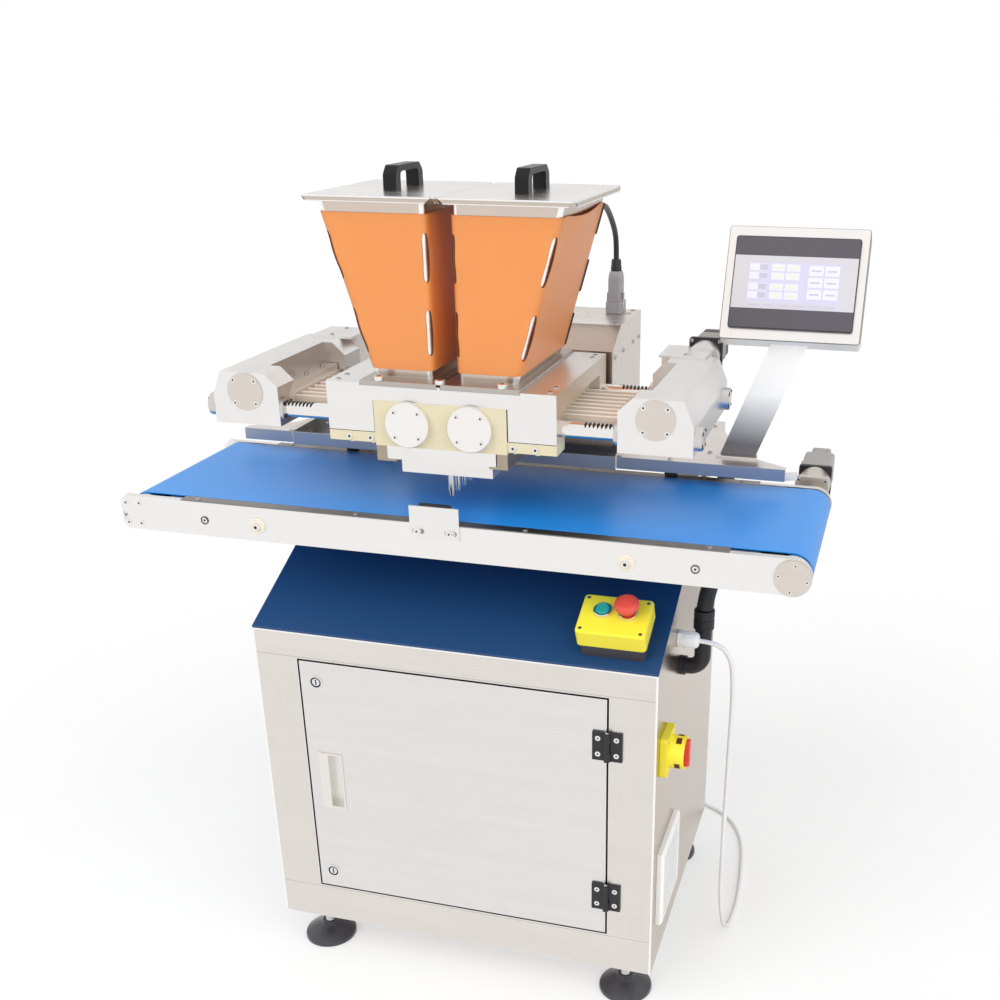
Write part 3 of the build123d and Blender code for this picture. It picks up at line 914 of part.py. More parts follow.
# Lids: folded pans with bow handles
lid_top = HOP_Z1 + LID_T
lid_low = lid_top - LID_LIP
lid = block(LID_X0, LID_X1, LID_Y0, LID_Y1, lid_low, lid_top)
pan_x0, pan_x1 = LID_X0 + LID_WALL, LID_X1 - LID_WALL
lid -= block(pan_x0, pan_x1, LID_Y0 + LID_WALL, LID_Y1 - LID_WALL, lid_low - CUT, HOP_Z1)
for x in (LID_X0, LID_X1):
    for y in (LID_Y0, LID_Y1):
        lid -= block(x - LID_NOTCH, x + LID_NOTCH, y - LID_NOTCH, y + LID_NOTCH, lid_low - CUT, HOP_Z1)
y0, y1 = HANDLE_Y0, HANDLE_Y0 + HANDLE_L
grip = lid_top + HANDLE_H
under = grip - HANDLE_GRIP
bow = [
    (y0, lid_top),
    (y0, grip - HANDLE_BEVEL),
    (y0 + HANDLE_BEVEL, grip),
    (y1 - HANDLE_BEVEL, grip),
    (y1, grip - HANDLE_BEVEL),
    (y1, lid_top),
    (y1 - HANDLE_LEG, lid_top),
    (y1 - HANDLE_LEG, under - HANDLE_INNER),
    (y1 - HANDLE_LEG - HANDLE_INNER, under),
    (y0 + HANDLE_LEG + HANDLE_INNER, under),
    (y0 + HANDLE_LEG, under - HANDLE_INNER),
    (y0 + HANDLE_LEG, lid_top),
]
handle = prism_x(bow, HANDLE_X - HANDLE_W / 2, HANDLE_X + HANDLE_W / 2)
keep("right_lid", lid, handle)
keep("left_lid", flip(lid), flip(handle))

# Valve drive box with the two spool motors inside
box_floor = DECK_Z1 + DRIVE_FOOT_H
drive_line = [
    (DRIVE_Y0, box_floor),
    (DRIVE_Y1, box_floor),
    (DRIVE_Y1, DRIVE_TOP),
    (DRIVE_SLOPE_Y, DRIVE_TOP),
    (DRIVE_Y0, DRIVE_SLOPE_Z),
]
inside_line = [
    (DRIVE_Y0 + SHEET, box_floor + SHEET),
    (DRIVE_Y1 - SHEET, box_floor + SHEET),
    (DRIVE_Y1 - SHEET, DRIVE_TOP - SHEET),
    (DRIVE_SLOPE_Y + 0.5, DRIVE_TOP - SHEET),
    (DRIVE_Y0 + SHEET, DRIVE_SLOPE_Z - 1.2),
]
drive_box = prism_x(drive_line, -DRIVE_HALF_W, DRIVE_HALF_W)
drive_box -= prism_x(inside_line, SHEET - DRIVE_HALF_W, DRIVE_HALF_W - SHEET)
spool_motors = []
stem_bore = SPOOL_STEM_R + FIT
for x in (-SPOOL_X, SPOOL_X):
    drive_box -= bar_y(STEM_HOLE_R, DRIVE_Y0 - CUT, DRIVE_Y0 + SHEET + CUT, x, SPOOL_Z)
    spool_motor = bar_y(SPOOL_MOTOR_R, DRIVE_Y0 + SHEET, SPOOL_MOTOR_Y1, x, SPOOL_Z)
    spool_motors.append(spool_motor - bar_y(stem_bore, DRIVE_Y0 + CUT, SPOOL_END + 2 * CUT, x, SPOOL_Z))
box_feet = []
for x in DRIVE_FOOT_XS:
    for y in DRIVE_FOOT_YS:
        box_feet.append(bar_z(DRIVE_FOOT_R, DECK_Z1, box_floor, x, y))
keep("valve_drive_box", drive_box, spool_motors, box_feet)

# Plug connector on the drive box for the jacket heaters
conn_top = CONN_Z + CONN_H
connector = block(
    CONN_X - CONN_HALF_W, CONN_X + CONN_HALF_W, CONN_Y - CONN_HALF_D, CONN_Y + CONN_HALF_D, CONN_Z, conn_top)
connector = fillet(connector.edges().filter_by(Axis.Z), CONN_EDGE)
base_x0, base_x1 = CONN_X - CONN_BASE_HALF_W, CONN_X + CONN_BASE_HALF_W
base_y0, base_y1 = CONN_Y - CONN_BASE_HALF_D, CONN_Y + CONN_BASE_HALF_D
connector += block(base_x0, base_x1, base_y0, base_y1, CONN_Z, CONN_Z + CONN_BASE_H)
connector += bar_z(CONN_NECK_R, conn_top - CUT, conn_top + CONN_NECK_H, CONN_X, CONN_Y)
connector += bar_x(LATCH_R, CONN_X - LATCH_HALF_W, CONN_X + LATCH_HALF_W, CONN_Y + LATCH_Y, CONN_Z + LATCH_Z)
connector -= bar_z(HOPPER_CABLE_R + FIT, conn_top - CUT, conn_top + CONN_NECK_H + CUT, CONN_X, CONN_Y)
keep("hopper_connector", connector)

# Jacket heater cable
hopper_points = [
    (CONN_X, CONN_Y, conn_top),
    (CONN_X, CONN_Y, conn_top + 37),
    (CONN_X + 2, CONN_Y - 16, conn_top + 66),
    (CONN_X + 4, CONN_Y - 52, conn_top + 92),
    (CONN_X + 8, CONN_Y - 97, conn_top + 113),
    (CABLE_X, CONN_Y - 149, CABLE_Z),
    (CABLE_X, HOP_Y1 + CABLE_BOSS_L, CABLE_Z),
]
keep("hopper_cable", tube("hopper_cable", hopper_points, HOPPER_CABLE_R))

# Touch panel housing on a flat arm that leans out and back
tilt = math.radians(PANEL_TILT)
panel_out = (0, -math.cos(tilt), math.sin(tilt))
on_panel = Location(Plane(origin=PANEL_AT, x_dir=(1, 0, 0), z_dir=panel_out))
housing = rounded(HOUSING_W, HOUSING_H, HOUSING_CORNER, -PANEL_T - HOUSING_D, -PANEL_T)
housing = on_panel * fillet(housing.faces().sort_by(Axis.Z)[-1].edges(), HOUSING_EDGE)
arm_foot = Pos(ARM_FOOT_X, ARM_FOOT_Y, DECK_Z1) * Rectangle(ARM_W, ARM_T)
arm_head = Pos(ARM_HEAD_X, ARM_HEAD_Y, ARM_TOP) * Rectangle(ARM_W, ARM_T)
arm = loft([arm_foot, arm_head], ruled=True)
plate_x0, plate_x1 = ARM_FOOT_X - ARM_PLATE_HALF_W, ARM_FOOT_X + ARM_PLATE_HALF_W
arm += block(plate_x0, plate_x1, ARM_PLATE_Y0, ARM_FOOT_Y + ARM_T / 2, DECK_Z1, DECK_Z1 + ARM_PLATE_T)
keep("hmi_housing", housing + arm)
bezel = rounded(PANEL_W, PANEL_H, PANEL_CORNER, -PANEL_T, PANEL_T)
bezel = fillet(bezel.faces().sort_by(Axis.Z)[-1].edges(), PANEL_EDGE)
keep("hmi_panel", on_panel * bezel)

# Screws and bolts in view
screws = []
for y in (28, 307):
    for x in (-98, 0, 98):
        screws.append(bar_z(8, HOP_Z0, HOP_Z0 + 6, x, y))
for x in (TIE_XS[1], TIE_XS[2]):
    screws.append(bar_y(13.5, -3, 0, x, 854) + bar_y(6, -8, -3, x, 854))
for x in (TIE_XS[0], TIE_XS[3]):
    screws.append(bar_y(7, -1.5, 0, x, 855))
for x, z in ((-556, 873), (-531, 874), (-555, 839), (-531.5, 839)):
    screws.append(bar_y(4, -1.5, 0, x, z))
CAP_SCREWS_R, COVER_SCREWS_R = 21.0, 27.0
for k in range(4):
    turn = math.radians(90 * k - 8)
    screw_x, screw_z = CAP_X + CAP_SCREWS_R * math.cos(turn), CAP_Z + CAP_SCREWS_R * math.sin(turn)
    screws.append(bar_y(3.2, -CAP_T - 1.5, -CAP_T, screw_x, screw_z))
    turn = math.radians(45 + 90 * k)
    screw_z = SPOOL_Z + COVER_SCREWS_R * math.sin(turn)
    for x in (-SPOOL_X, SPOOL_X):
        screws.append(bar_y(3.6, 6.5, BODY_Y0 - COVER_T, x + COVER_SCREWS_R * math.cos(turn), screw_z))
for x in (-40, 22):
    screws.append(bar_y(4, -SENSOR_T - 1.5, -SENSOR_T, x, 874))
keep("machine_screws", screws)

# Electrical panel inside the cabinet: plate, posts and switchgear
panel = block(-EP_HALF_W, EP_HALF_W, EP_Y0, EP_Y1, EP_Z0, EP_Z1)
for x in EP_POST_XS:
    for z in EP_POST_ZS:
        panel += bar_y(EP_POST_R, EP_Y1 - CUT, CAB_DEPTH - SHEET, x, z)
for x0, x1, unit_y, z0, z1 in EP_UNITS:
    panel += block(x0, x1, unit_y, EP_Y0 + CUT, z0, z1)
keep("electrical_panel", panel)

# The frame is set on the middle of the footprint, the cords aside
low = Vector(1e9, 1e9, 1e9)
high = Vector(-1e9, -1e9, -1e9)
for name, solids in nodes.items():
    if name in cords:
        continue
    for solid in solids:
        box = solid.bounding_box()
        low = Vector(min(low.X, box.min.X), min(low.Y, box.min.Y), min(low.Z, box.min.Z))
        high = Vector(max(high.X, box.max.X), max(high.Y, box.max.Y), max(high.Z, box.max.Z))
shift = Vector(-(low.X + high.X) / 2, -(low.Y + high.Y) / 2, -low.Z)
print("box", low, high, "shift", shift)
os.makedirs("parts", exist_ok=True)
for name, solids in nodes.items():
    moved = [Pos(shift.X, shift.Y, shift.Z) * solid for solid in solids]
    shape = moved[0] if len(moved) == 1 else Compound(children=moved)
    shape.label = name
    export_step(shape, f"parts/{name}.step")
print(len(nodes), "nodes")
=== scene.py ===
import json
import math

import bmesh
import bpy
from mathutils import Matrix, Vector


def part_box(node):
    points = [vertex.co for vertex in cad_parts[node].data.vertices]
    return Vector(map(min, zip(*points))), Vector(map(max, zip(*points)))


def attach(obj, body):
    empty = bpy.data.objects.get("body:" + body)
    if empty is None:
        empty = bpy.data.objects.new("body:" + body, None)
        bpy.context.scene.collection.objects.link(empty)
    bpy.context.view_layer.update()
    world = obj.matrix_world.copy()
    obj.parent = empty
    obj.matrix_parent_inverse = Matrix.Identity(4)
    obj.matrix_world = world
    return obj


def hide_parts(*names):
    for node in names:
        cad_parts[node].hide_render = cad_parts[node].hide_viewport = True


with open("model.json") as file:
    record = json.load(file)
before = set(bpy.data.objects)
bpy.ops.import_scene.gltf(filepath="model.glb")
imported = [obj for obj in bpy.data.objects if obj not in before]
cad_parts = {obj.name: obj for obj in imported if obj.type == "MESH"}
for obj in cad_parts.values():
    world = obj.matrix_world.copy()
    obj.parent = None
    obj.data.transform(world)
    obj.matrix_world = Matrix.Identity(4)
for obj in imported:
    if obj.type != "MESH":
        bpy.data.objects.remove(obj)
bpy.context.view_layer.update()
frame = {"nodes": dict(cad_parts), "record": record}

# Lengths below are in millimetres from the middle of the cabinet's front, at floor level
MM = 0.001
front_low, front_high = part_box("cabinet_front_frame")
front_middle = Vector(((front_low.x + front_high.x) / 2, front_low.y, 0))
TO_FRAME = Matrix.Translation(front_middle) @ Matrix.Scale(MM, 4)
FROM_FRAME = TO_FRAME.inverted()
NODE_BODY = {node: body for body, nodes in frame["record"]["behaviour"]["bodies"].items() for node in nodes}
FRONT, BACK, RIGHT, UP, DOWN = (0, -1, 0), (0, 1, 0), (1, 0, 0), (0, 0, 1), (0, 0, -1)
SIDES = (("left", -1), ("right", 1))
CORNERS = ((-1, -1), (-1, 1), (1, -1), (1, 1))
# Least share of a face's normal along an axis for it to look that way, and how far a screw head sinks in
SQUARE_ON, SINK = 0.9, 0.1


def span(node):
    """Lowest and highest corner of a node in millimetres."""
    low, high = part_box(node)
    return FROM_FRAME @ low, FROM_FRAME @ high


def added(name, data):
    """A new object in the scene."""
    made = bpy.data.objects.new(name, data)
    bpy.context.scene.collection.objects.link(made)
    return made


def srgb(red, green, blue):
    """Linear colour of a screen colour given in 0 to 255."""

    def linear(value):
        share = value / 255
        return share / 12.92 if share <= 0.04045 else ((share + 0.055) / 1.055) ** 2.4

    return linear(red), linear(green), linear(blue), 1.0


def scaled(color, factor):
    return tuple(min(1.0, channel * factor) for channel in color[:3]) + (1.0,)


# Finishes
GRAIN_DEPTH, POLISHED_DEPTH, SHEET_DEPTH = 0.00003, 0.00002, 0.00008
# Range in which most values of one noise lie, and of several mixed
NOISE, MIXED = (0.3, 0.7), (0.32, 0.68)


class Nodes:
    """A node tree, with short ways to add the nodes used here."""

    def __init__(self, tree):
        self.tree = tree

    def feed(self, node, values):
        """Sets a node's inputs, by name or number; the output of another node is linked."""
        for key, value in values.items():
            if isinstance(value, bpy.types.NodeSocket):
                self.tree.links.new(value, node.inputs[key])
            else:
                node.inputs[key].default_value = value

    def add(self, kind, output, values, **settings):
        """Adds a node with these inputs and gives one of its outputs."""
        made = self.tree.nodes.new(kind)
        for key, value in settings.items():
            setattr(made, key, value)
        self.feed(made, values)
        return made.outputs[output]

    def place(self, stretch=(1, 1, 1)):
        """Object coordinates, stretched."""
        spot = self.add("ShaderNodeTexCoord", "Object", {})
        return self.add("ShaderNodeMapping", "Vector", {"Vector": spot, "Scale": stretch})

    def axes(self):
        """Object coordinates as three outputs."""
        return self.add("ShaderNodeSeparateXYZ", "X", {"Vector": self.place()}).node.outputs[:]

    def noise(self, vector, scale, detail=2.0, rough=0.5):
        values = {"Vector": vector, "Scale": scale, "Detail": detail, "Roughness": rough}
        return self.add("ShaderNodeTexNoise", "Fac", values)

    def grain(self, stretch):
        """Fine noise, with as many grains to the metre as the stretch says."""
        return self.noise(self.place(stretch), scale=1.0, detail=3.0)

    def math(self, operation, first, second=0.0):
        return self.add("ShaderNodeMath", "Value", {0: first, 1: second}, operation=operation)

    def mixed(self, *shares):
        """Sum of outputs, each times its share."""
        total = None
        for output, share in shares:
            part = self.math("MULTIPLY", output, share)
            total = part if total is None else self.math("ADD", total, part)
        return total

    def remap(self, value, from_low, from_high, to_low=0.0, to_high=1.0):
        limits = {"From Min": from_low, "From Max": from_high, "To Min": to_low, "To Max": to_high}
        return self.add("ShaderNodeMapRange", "Result", {"Value": value, **limits})

    def blend(self, share, first, second):
        """Colour between first and second; each is a colour or an output."""
        return self.add("ShaderNodeMix", 2, {0: share, 6: first, 7: second}, data_type="RGBA")

    def swung(self, share, color, swing):
        """The colour, from darker to lighter by the swing."""
        return self.blend(share, scaled(color, 1 - swing), scaled(color, 1 + swing))


class Shader(Nodes):
    """The nodes of a new material."""

    def __init__(self, name):
        self.material = bpy.data.materials.new(name)
        self.material.use_nodes = True
        super().__init__(self.material.node_tree)

    def surface(self, **values):
        """Sets inputs of the surface; an underscore stands for a space."""
        named = {key.replace("_", " "): value for key, value in values.items()}
        self.feed(self.tree.nodes["Principled BSDF"], named)

    def grained(self, color, rough, fine, depth, metallic, **more):
        """The material, with bumps from the fine noise."""
        bumps = {"Strength": 0.5, "Distance": depth, "Height": fine}
        normal = self.add("ShaderNodeBump", "Normal", bumps)
        self.surface(Base_Color=color, Roughness=rough, Normal=normal, Metallic=metallic, **more)
        return self.material


def finish(name, rgb, rough, metallic=0.0, swing=0.04, cloud=14.0, grain=(800, 800, 800), depth=GRAIN_DEPTH,
           **more):
    """A finish with a fine grain, broad clouding, and roughness that follows both."""
    shader = Shader(name)
    fine = shader.grain(grain)
    broad = shader.noise(shader.place(), cloud, detail=4.0, rough=0.6)
    mixed = shader.mixed((fine, 0.5), (broad, 0.5))
    color = shader.swung(shader.remap(mixed, *NOISE), srgb(*rgb), swing)
    uneven = shader.remap(mixed, *NOISE, 0.86 * rough, 1.14 * rough)
    return shader.grained(color, uneven, fine, depth, metallic, **more)


def metal(name, rgb, rough, swing=0.04, cloud=25.0, grain=(700, 700, 700)):
    return finish(name, rgb, rough, 1.0, swing, cloud, grain, POLISHED_DEPTH)


def brushed(name, rgb, rough, along, swing=0.05, streak=40.0):
    """Brushed metal whose lines run along one axis, with broad streaks and smudges."""
    shader = Shader(name)
    fine_scale, streak_scale = [900.0] * 3, [streak] * 3
    fine_scale["xyz".index(along)] = 8.0
    streak_scale["xyz".index(along)] = 1.2
    fine = shader.grain(fine_scale)
    streaks = shader.grain(streak_scale)
    smudge = shader.noise(shader.place(), scale=7.0, detail=5.0, rough=0.65)
    mixed = shader.mixed((fine, 0.3), (streaks, 0.4), (smudge, 0.3))
    color = shader.swung(shader.remap(mixed, *MIXED), srgb(*rgb), swing)
    uneven = shader.remap(mixed, *NOISE, 0.8 * rough, 1.25 * rough)
    return shader.grained(color, uneven, fine, GRAIN_DEPTH, 1.0)


def framed_steel(name, rgb, rough, seams, bend_x, bend_z):
    """Sheet brushed along the rails and up the stiles, with a fine seam between and a painted highlight along
    each outer bend.
    """
    plain, highlight_width = srgb(*rgb), 0.0008
    shader = Shader(name)
    along_rail, up_stile = shader.grain((8, 900, 900)), shader.grain((900, 900, 8))
    smudge = shader.noise(shader.place((2.5, 2.5, 9.0)), scale=1.6, detail=5.0, rough=0.6)
    across, _, height = shader.axes()
    foot, head = seams
    rail = shader.math("ADD", shader.math("GREATER_THAN", height, head),
                       shader.math("LESS_THAN", height, foot))
    fine = shader.mixed((along_rail, rail), (up_stile, shader.math("SUBTRACT", 1.0, rail)))
    mixed = shader.mixed((fine, 0.45), (smudge, 0.55))
    sheet = shader.swung(shader.remap(mixed, *MIXED), plain, 0.05)
    gaps = [shader.math("ABSOLUTE", shader.math("SUBTRACT", height, seam)) for seam in seams]
    seam = shader.remap(shader.math("MINIMUM", *gaps), 0.0003, 0.0009, 1.0, 0.0)
    joined = shader.blend(seam, sheet, scaled(plain, 0.7))
    reach = shader.math("ABSOLUTE", shader.math("SUBTRACT", across, front_middle.x))
    # Painted highlight: near-white bands along each outer bend
    bend_highlights = [shader.remap(way, at, at + highlight_width) for way, at in ((reach, bend_x), (height, bend_z))]
    color = shader.blend(shader.math("MAXIMUM", *bend_highlights), joined, srgb(253, 252, 251))
    uneven = shader.remap(mixed, *NOISE, rough - 0.05, rough + 0.08)
    return shader.grained(color, uneven, fine, GRAIN_DEPTH, 1.0)


def arm_shade_finish(name, low_rgb, high_rgb, dark_to, bright_from):
    """Brushed flat bar with painted shade darkening it towards its foot and a painted highlight brightening
    it towards its head.
    """
    shader = Shader(name)
    fine = shader.grain((700, 700, 10))
    smudge = shader.noise(shader.place(), scale=30.0, detail=4.0, rough=0.6)
    rise = shader.remap(shader.axes()[2], dark_to, bright_from)
    share = shader.mixed((rise, 0.9), (fine, 0.06), (smudge, 0.08))
    color = shader.blend(share, srgb(*low_rgb), srgb(*high_rgb))
    return shader.grained(color, shader.remap(fine, *NOISE, 0.3, 0.42), fine, GRAIN_DEPTH, 0.35)


# Sheet metal: name, screen colour, roughness, way of the brushing, swing of the colour, fineness of streaks
front_steel = framed_steel("front_frame_steel", (225, 220, 214), 0.3, seams=(0.154, 0.6245),
                           bend_x=0.3462, bend_z=0.6668)
door_steel = brushed("door_steel", (228, 225, 223), 0.3, "x", 0.04)
# Painted highlight: near-white metal on rounded edges, corners and lips, where light would catch them
edge_highlight_steel = metal("painted_highlight_edge", (252, 251, 250), 0.3, 0.01)
# Darker tan copy of the cabinet steel for the right side: painted shade and reflection
right_side_shade_steel = brushed("right_side_shade_steel", (196, 181, 167), 0.22, "z", 0.07, 22.0)
back_steel = brushed("back_steel", (221, 217, 213), 0.28, "z", 0.04, 30.0)
inside_zinc = finish("inside_zinc", (188, 186, 183), 0.45, 0.2, 0.05, 9.0)
pull_steel = metal("pull_steel", (234, 231, 226), 0.3, 0.03)
strip_steel = brushed("strip_steel", (142, 138, 136), 0.3, "x", 0.06)
deck_steel = brushed("deck_steel", (238, 231, 226), 0.3, "x", 0.06)
# Darker, slightly bluish copy of the deck steel for front faces: painted shade
lip_shade_steel = brushed("lip_shade_steel", (176, 177, 184), 0.42, "x", 0.08)
tray_steel = brushed("tray_steel", (224, 217, 210), 0.26, "x", 0.08)
hopper_steel = brushed("hopper_steel", (212, 198, 186), 0.2, "z", 0.05)
flange_steel = brushed("flange_steel", (190, 182, 176), 0.34, "x", 0.08)
lid_steel = brushed("lid_steel", (250, 248, 246), 0.24, "x", 0.03)
# Darker copy of the lid steel for the lid's flaps: painted shade
flap_shade_steel = brushed("flap_shade_steel", (204, 192, 181), 0.18, "x", 0.06)
box_steel = brushed("drive_box_steel", (232, 224, 217), 0.28, "z", 0.05)
# Darker tan copy of the drive box steel for its front: painted shade
box_front_shade = brushed("drive_box_shaded_front", (190, 170, 156), 0.28, "z", 0.06)
housing_steel = brushed("housing_steel", (250, 246, 243), 0.34, "x", 0.03)
# Greyer copy of the housing steel for its sides: painted shade
housing_side_shade = brushed("housing_side_shade", (150, 142, 132), 0.3, "x", 0.05)
# The arm's dark foot and bright head are painted shade and reflection
arm_painted_shade = arm_shade_finish("arm_painted_shade", (94, 91, 94), (255, 253, 250), dark_to=0.95, bright_from=1.035)

# Turned and milled metal: brushed as above; others with swing and fineness of clouding and the grain
rail_alu = brushed("rail_aluminium", (241, 239, 237), 0.36, "x", 0.025)
plate_alu = brushed("plate_aluminium", (238, 236, 234), 0.34, "x", 0.025)
# Tan copy of the plate aluminium for the head's side faces: painted shade
side_shade_alu = brushed("side_shade_aluminium", (228, 214, 197), 0.34, "y", 0.06)
bar_alu = brushed("bar_aluminium", (232, 228, 223), 0.34, "y", 0.04)
cap_alu = metal("turned_aluminium", (221, 213, 205), 0.36, 0.05, 25.0, (60, 900, 900))
cover_alu = metal("cover_aluminium", (245, 242, 239), 0.36, 0.02, 18.0)
car_alu = brushed("carriage_aluminium", (238, 236, 234), 0.34, "y", 0.035)
# Darker aluminium for the pocket walls: painted shade in the recess
pocket_shade_alu = brushed("pocket_shade_aluminium", (205, 197, 190), 0.36, "z", 0.08)
case_alu = brushed("case_aluminium", (228, 222, 216), 0.3, "z", 0.05)
clamp_steel = brushed("clamp_steel", (172, 160, 145), 0.34, "y", 0.08)
bright = metal("bright_steel", (205, 205, 206), 0.2, 0.05, 30.0)
bush_steel = metal("bush_steel", (212, 209, 208), 0.34, 0.06, 30.0)
chrome = metal("chrome", (226, 226, 228), 0.09, 0.02, 12.0)
rod_steel = metal("ground_rod", (236, 234, 231), 0.15, 0.03, 30.0, (30, 900, 900))
white_steel = metal("bright_zinc", (240, 238, 236), 0.28, 0.04, 40.0)
shade = finish("shaded_slot", (150, 146, 142), 0.4, 0.6, 0.08, 60.0)
motor_grey = finish("motor_casting", (178, 174, 171), 0.42, 0.3, 0.06, 20.0)
black_metal = finish("black_coating", (29, 28, 32), 0.4, 0.0, 0.12, 25.0)

# Plastics, rubber and paint: name, screen colour, roughness, metal share, swing and fineness of clouding
navy = finish("navy_paint", (32, 69, 113), 0.4, 0.0, 0.04, 3.0)
black = finish("black_plastic", (44, 43, 48), 0.42, 0.0, 0.12, 20.0)
base_black = finish("base_plastic", (72, 68, 74), 0.45, 0.0, 0.08, 20.0)
hose_black = finish("hose_plastic", (28, 27, 35), 0.5, 0.0, 0.1, 20.0)
handle_black = finish("handle_plastic", (16, 15, 18), 0.3, 0.0, 0.1, 18.0, Specular_IOR_Level=0.3)
foot_black = finish("foot_rubber", (54, 53, 60), 0.25, 0.0, 0.15, 12.0, Coat_Weight=0.4)
# Near black: painted shade in recesses, grooves, sockets, slots and vents, and the real colour of dark joints
# and black levers
dark = finish("black_and_painted_shade", (20, 20, 22), 0.6, 0.0, 0.15, 30.0)
# Grey in the screws' hexagon sockets: painted shade in the recess
socket_shade = finish("screw_socket_shade", (98, 95, 93), 0.5, 0.3, 0.1, 60.0)
yellow = finish("yellow_plastic", (255, 237, 60), 0.38, 0.0, 0.03, 9.0)
red = finish("red_plastic", (224, 80, 66), 0.38, 0.0, 0.05, 14.0)
green = finish("green_plastic", (44, 168, 160), 0.36, 0.0, 0.06, 16.0)
white = finish("white_plastic", (252, 252, 250), 0.4, 0.0, 0.02, 10.0)
ivory = finish("ivory_plastic", (238, 230, 212), 0.42, 0.0, 0.03, 25.0)
cream = finish("cream_resin", (224, 214, 182), 0.4, 0.0, 0.035, 12.0, (40, 600, 600))
piston_resin = finish("piston_resin", (246, 236, 226), 0.35, 0.0, 0.04, 16.0, (40, 600, 600))
piston_shade = finish("piston_shade", (200, 184, 166), 0.5, 0.0, 0.06, 16.0, (40, 600, 600))
grey = finish("grey_plastic", (136, 135, 140), 0.45, 0.0, 0.05)
pale_grey = finish("pale_grey_plastic", (200, 196, 198), 0.42, 0.0, 0.03)
connector_grey = finish("connector_grey", (160, 160, 165), 0.42, 0.0, 0.06, 24.0)
belt_blue = finish("belt_blue", (28, 146, 236), 0.34, 0.0, 0.06, 4.0, (500, 500, 500), SHEET_DEPTH,
                   Specular_IOR_Level=0.9)
# Dark orange for cut edges and slot sheets: painted shade
orange_edge_shade = finish("orange_edge_painted_shade", (92, 42, 24), 0.6, 0.0, 0.1, 20.0)
orange = finish("orange_silicone", (233, 145, 72), 0.36, 0.0, 0.04, 4.0, (700, 700, 700), SHEET_DEPTH,
                Specular_IOR_Level=0.9)
cord_white = finish("white_cord", (240, 240, 238), 0.45, 0.0, 0.02, 9.0)

# Touch panel films
bezel_dark = finish("bezel_edge", (52, 52, 60), 0.4, 0.0, 0.08, 30.0)
bezel_grey = finish("bezel_film", (82, 80, 86), 0.4, 0.0, 0.04, 16.0)
band_grey = finish("light_film", (206, 204, 209), 0.4, 0.0, 0.02, 16.0)
lilac = finish("screen_ground", (205, 204, 227), 0.36, 0.0, 0.02, 10.0)
cell_white = finish("screen_cell", (226, 226, 235), 0.36, 0.0, 0.015, 12.0)
cell_yellow = finish("screen_value", (228, 225, 196), 0.36, 0.0, 0.02, 12.0)
cell_grey = finish("screen_mark", (190, 192, 212), 0.36, 0.0, 0.02, 12.0)

# Shapes, built in millimetres


def turns(count):
    return [2 * math.pi * k / count for k in range(count)]


def along_axis(origin, axis):
    """Matrix that takes Z to the axis and the origin to its point."""
    return Matrix.Translation(Vector(origin)) @ Vector(axis).to_track_quat("Z", "Y").to_matrix().to_4x4()


def moved(x, y, z=0.0):
    return Matrix.Translation((x, y, z))


def oblong(x0, x1, y0, y1):
    """The four corners of a rectangle."""
    return [(x0, y0), (x1, y0), (x1, y1), (x0, y1)]


def both_sides(spots):
    """Spots given for the right side, after their mirror images on the left."""
    spots = list(spots)
    return [(s * x, y, z) for s in (-1, 1) for x, y, z in spots]


def looking_back(x, z):
    """Matrix that lays width along X, depth up Z and height along Y."""
    return Matrix(((1, 0, 0, x), (0, 0, 1, 0), (0, 1, 0, z), (0, 0, 0, 1)))


def bridge(bm, lower, upper, mat):
    count = max(len(lower), len(upper))
    for k in range(count):
        after = (k + 1) % count
        near, far = lower[k % len(lower)], lower[after % len(lower)]
        corners = [near, far, upper[after % len(upper)], upper[k % len(upper)]]
        unique = list(dict.fromkeys(corners))
        if len(unique) > 2:
            bm.faces.new(unique).material_index = mat


def loft(bm, rings, mats=0, capped=True):
    """Joins closed rings of points into a skin; mats is one finish, or one for each band."""
    made = [[bm.verts.new(point) for point in ring] for ring in rings]
    bands = [mats] * (len(rings) - 1) if isinstance(mats, int) else mats
    for lower, upper, mat in zip(made, made[1:], bands):
        bridge(bm, lower, upper, mat)
    for ring, mat in ((made[0], bands[0]), (made[-1], bands[-1])) if capped else ():
        if len(ring) > 2:
            bm.faces.new(ring).material_index = mat


def placed_loft(bm, place, rings, mats=0):
    loft(bm, [[place @ Vector(point) for point in ring] for ring in rings], mats)


def circle(radius, height, count=40):
    if radius <= 0:
        return [Vector((0, 0, height))]
    return [Vector((radius * math.cos(a), radius * math.sin(a), height)) for a in turns(count)]


def hexagon(radius, height, count=24):
    """Hexagon of that corner radius, with points along its sides."""
    points = []
    for a in turns(count):
        r = radius * math.cos(math.pi / 6) / math.cos(a % (math.pi / 3) - math.pi / 6)
        points.append(Vector((r * math.cos(a), r * math.sin(a), height)))
    return points


def nut(bm, place, levels, mat=0):
    """Hexagon nut from (corner radius, height) points."""
    placed_loft(bm, place, [hexagon(r, h) for r, h in levels], mat)


def lathe(bm, profile, origin=(0, 0, 0), axis=UP, mats=0, segments=40, capped=True):
    """Turned shape from (radius, height) points along the axis."""
    place = along_axis(origin, axis)
    rings = [[place @ point for point in circle(r, h, segments)] for r, h in profile]
    loft(bm, rings, mats, capped)


def ring_lathe(bm, profile, origin=(0, 0, 0), axis=UP, mat=0, segments=40):
    """Turned ring whose profile closes on itself."""
    lathe(bm, profile + profile[:1], origin, axis, mat, segments, capped=False)
    bmesh.ops.remove_doubles(bm, verts=bm.verts, dist=0.0005)


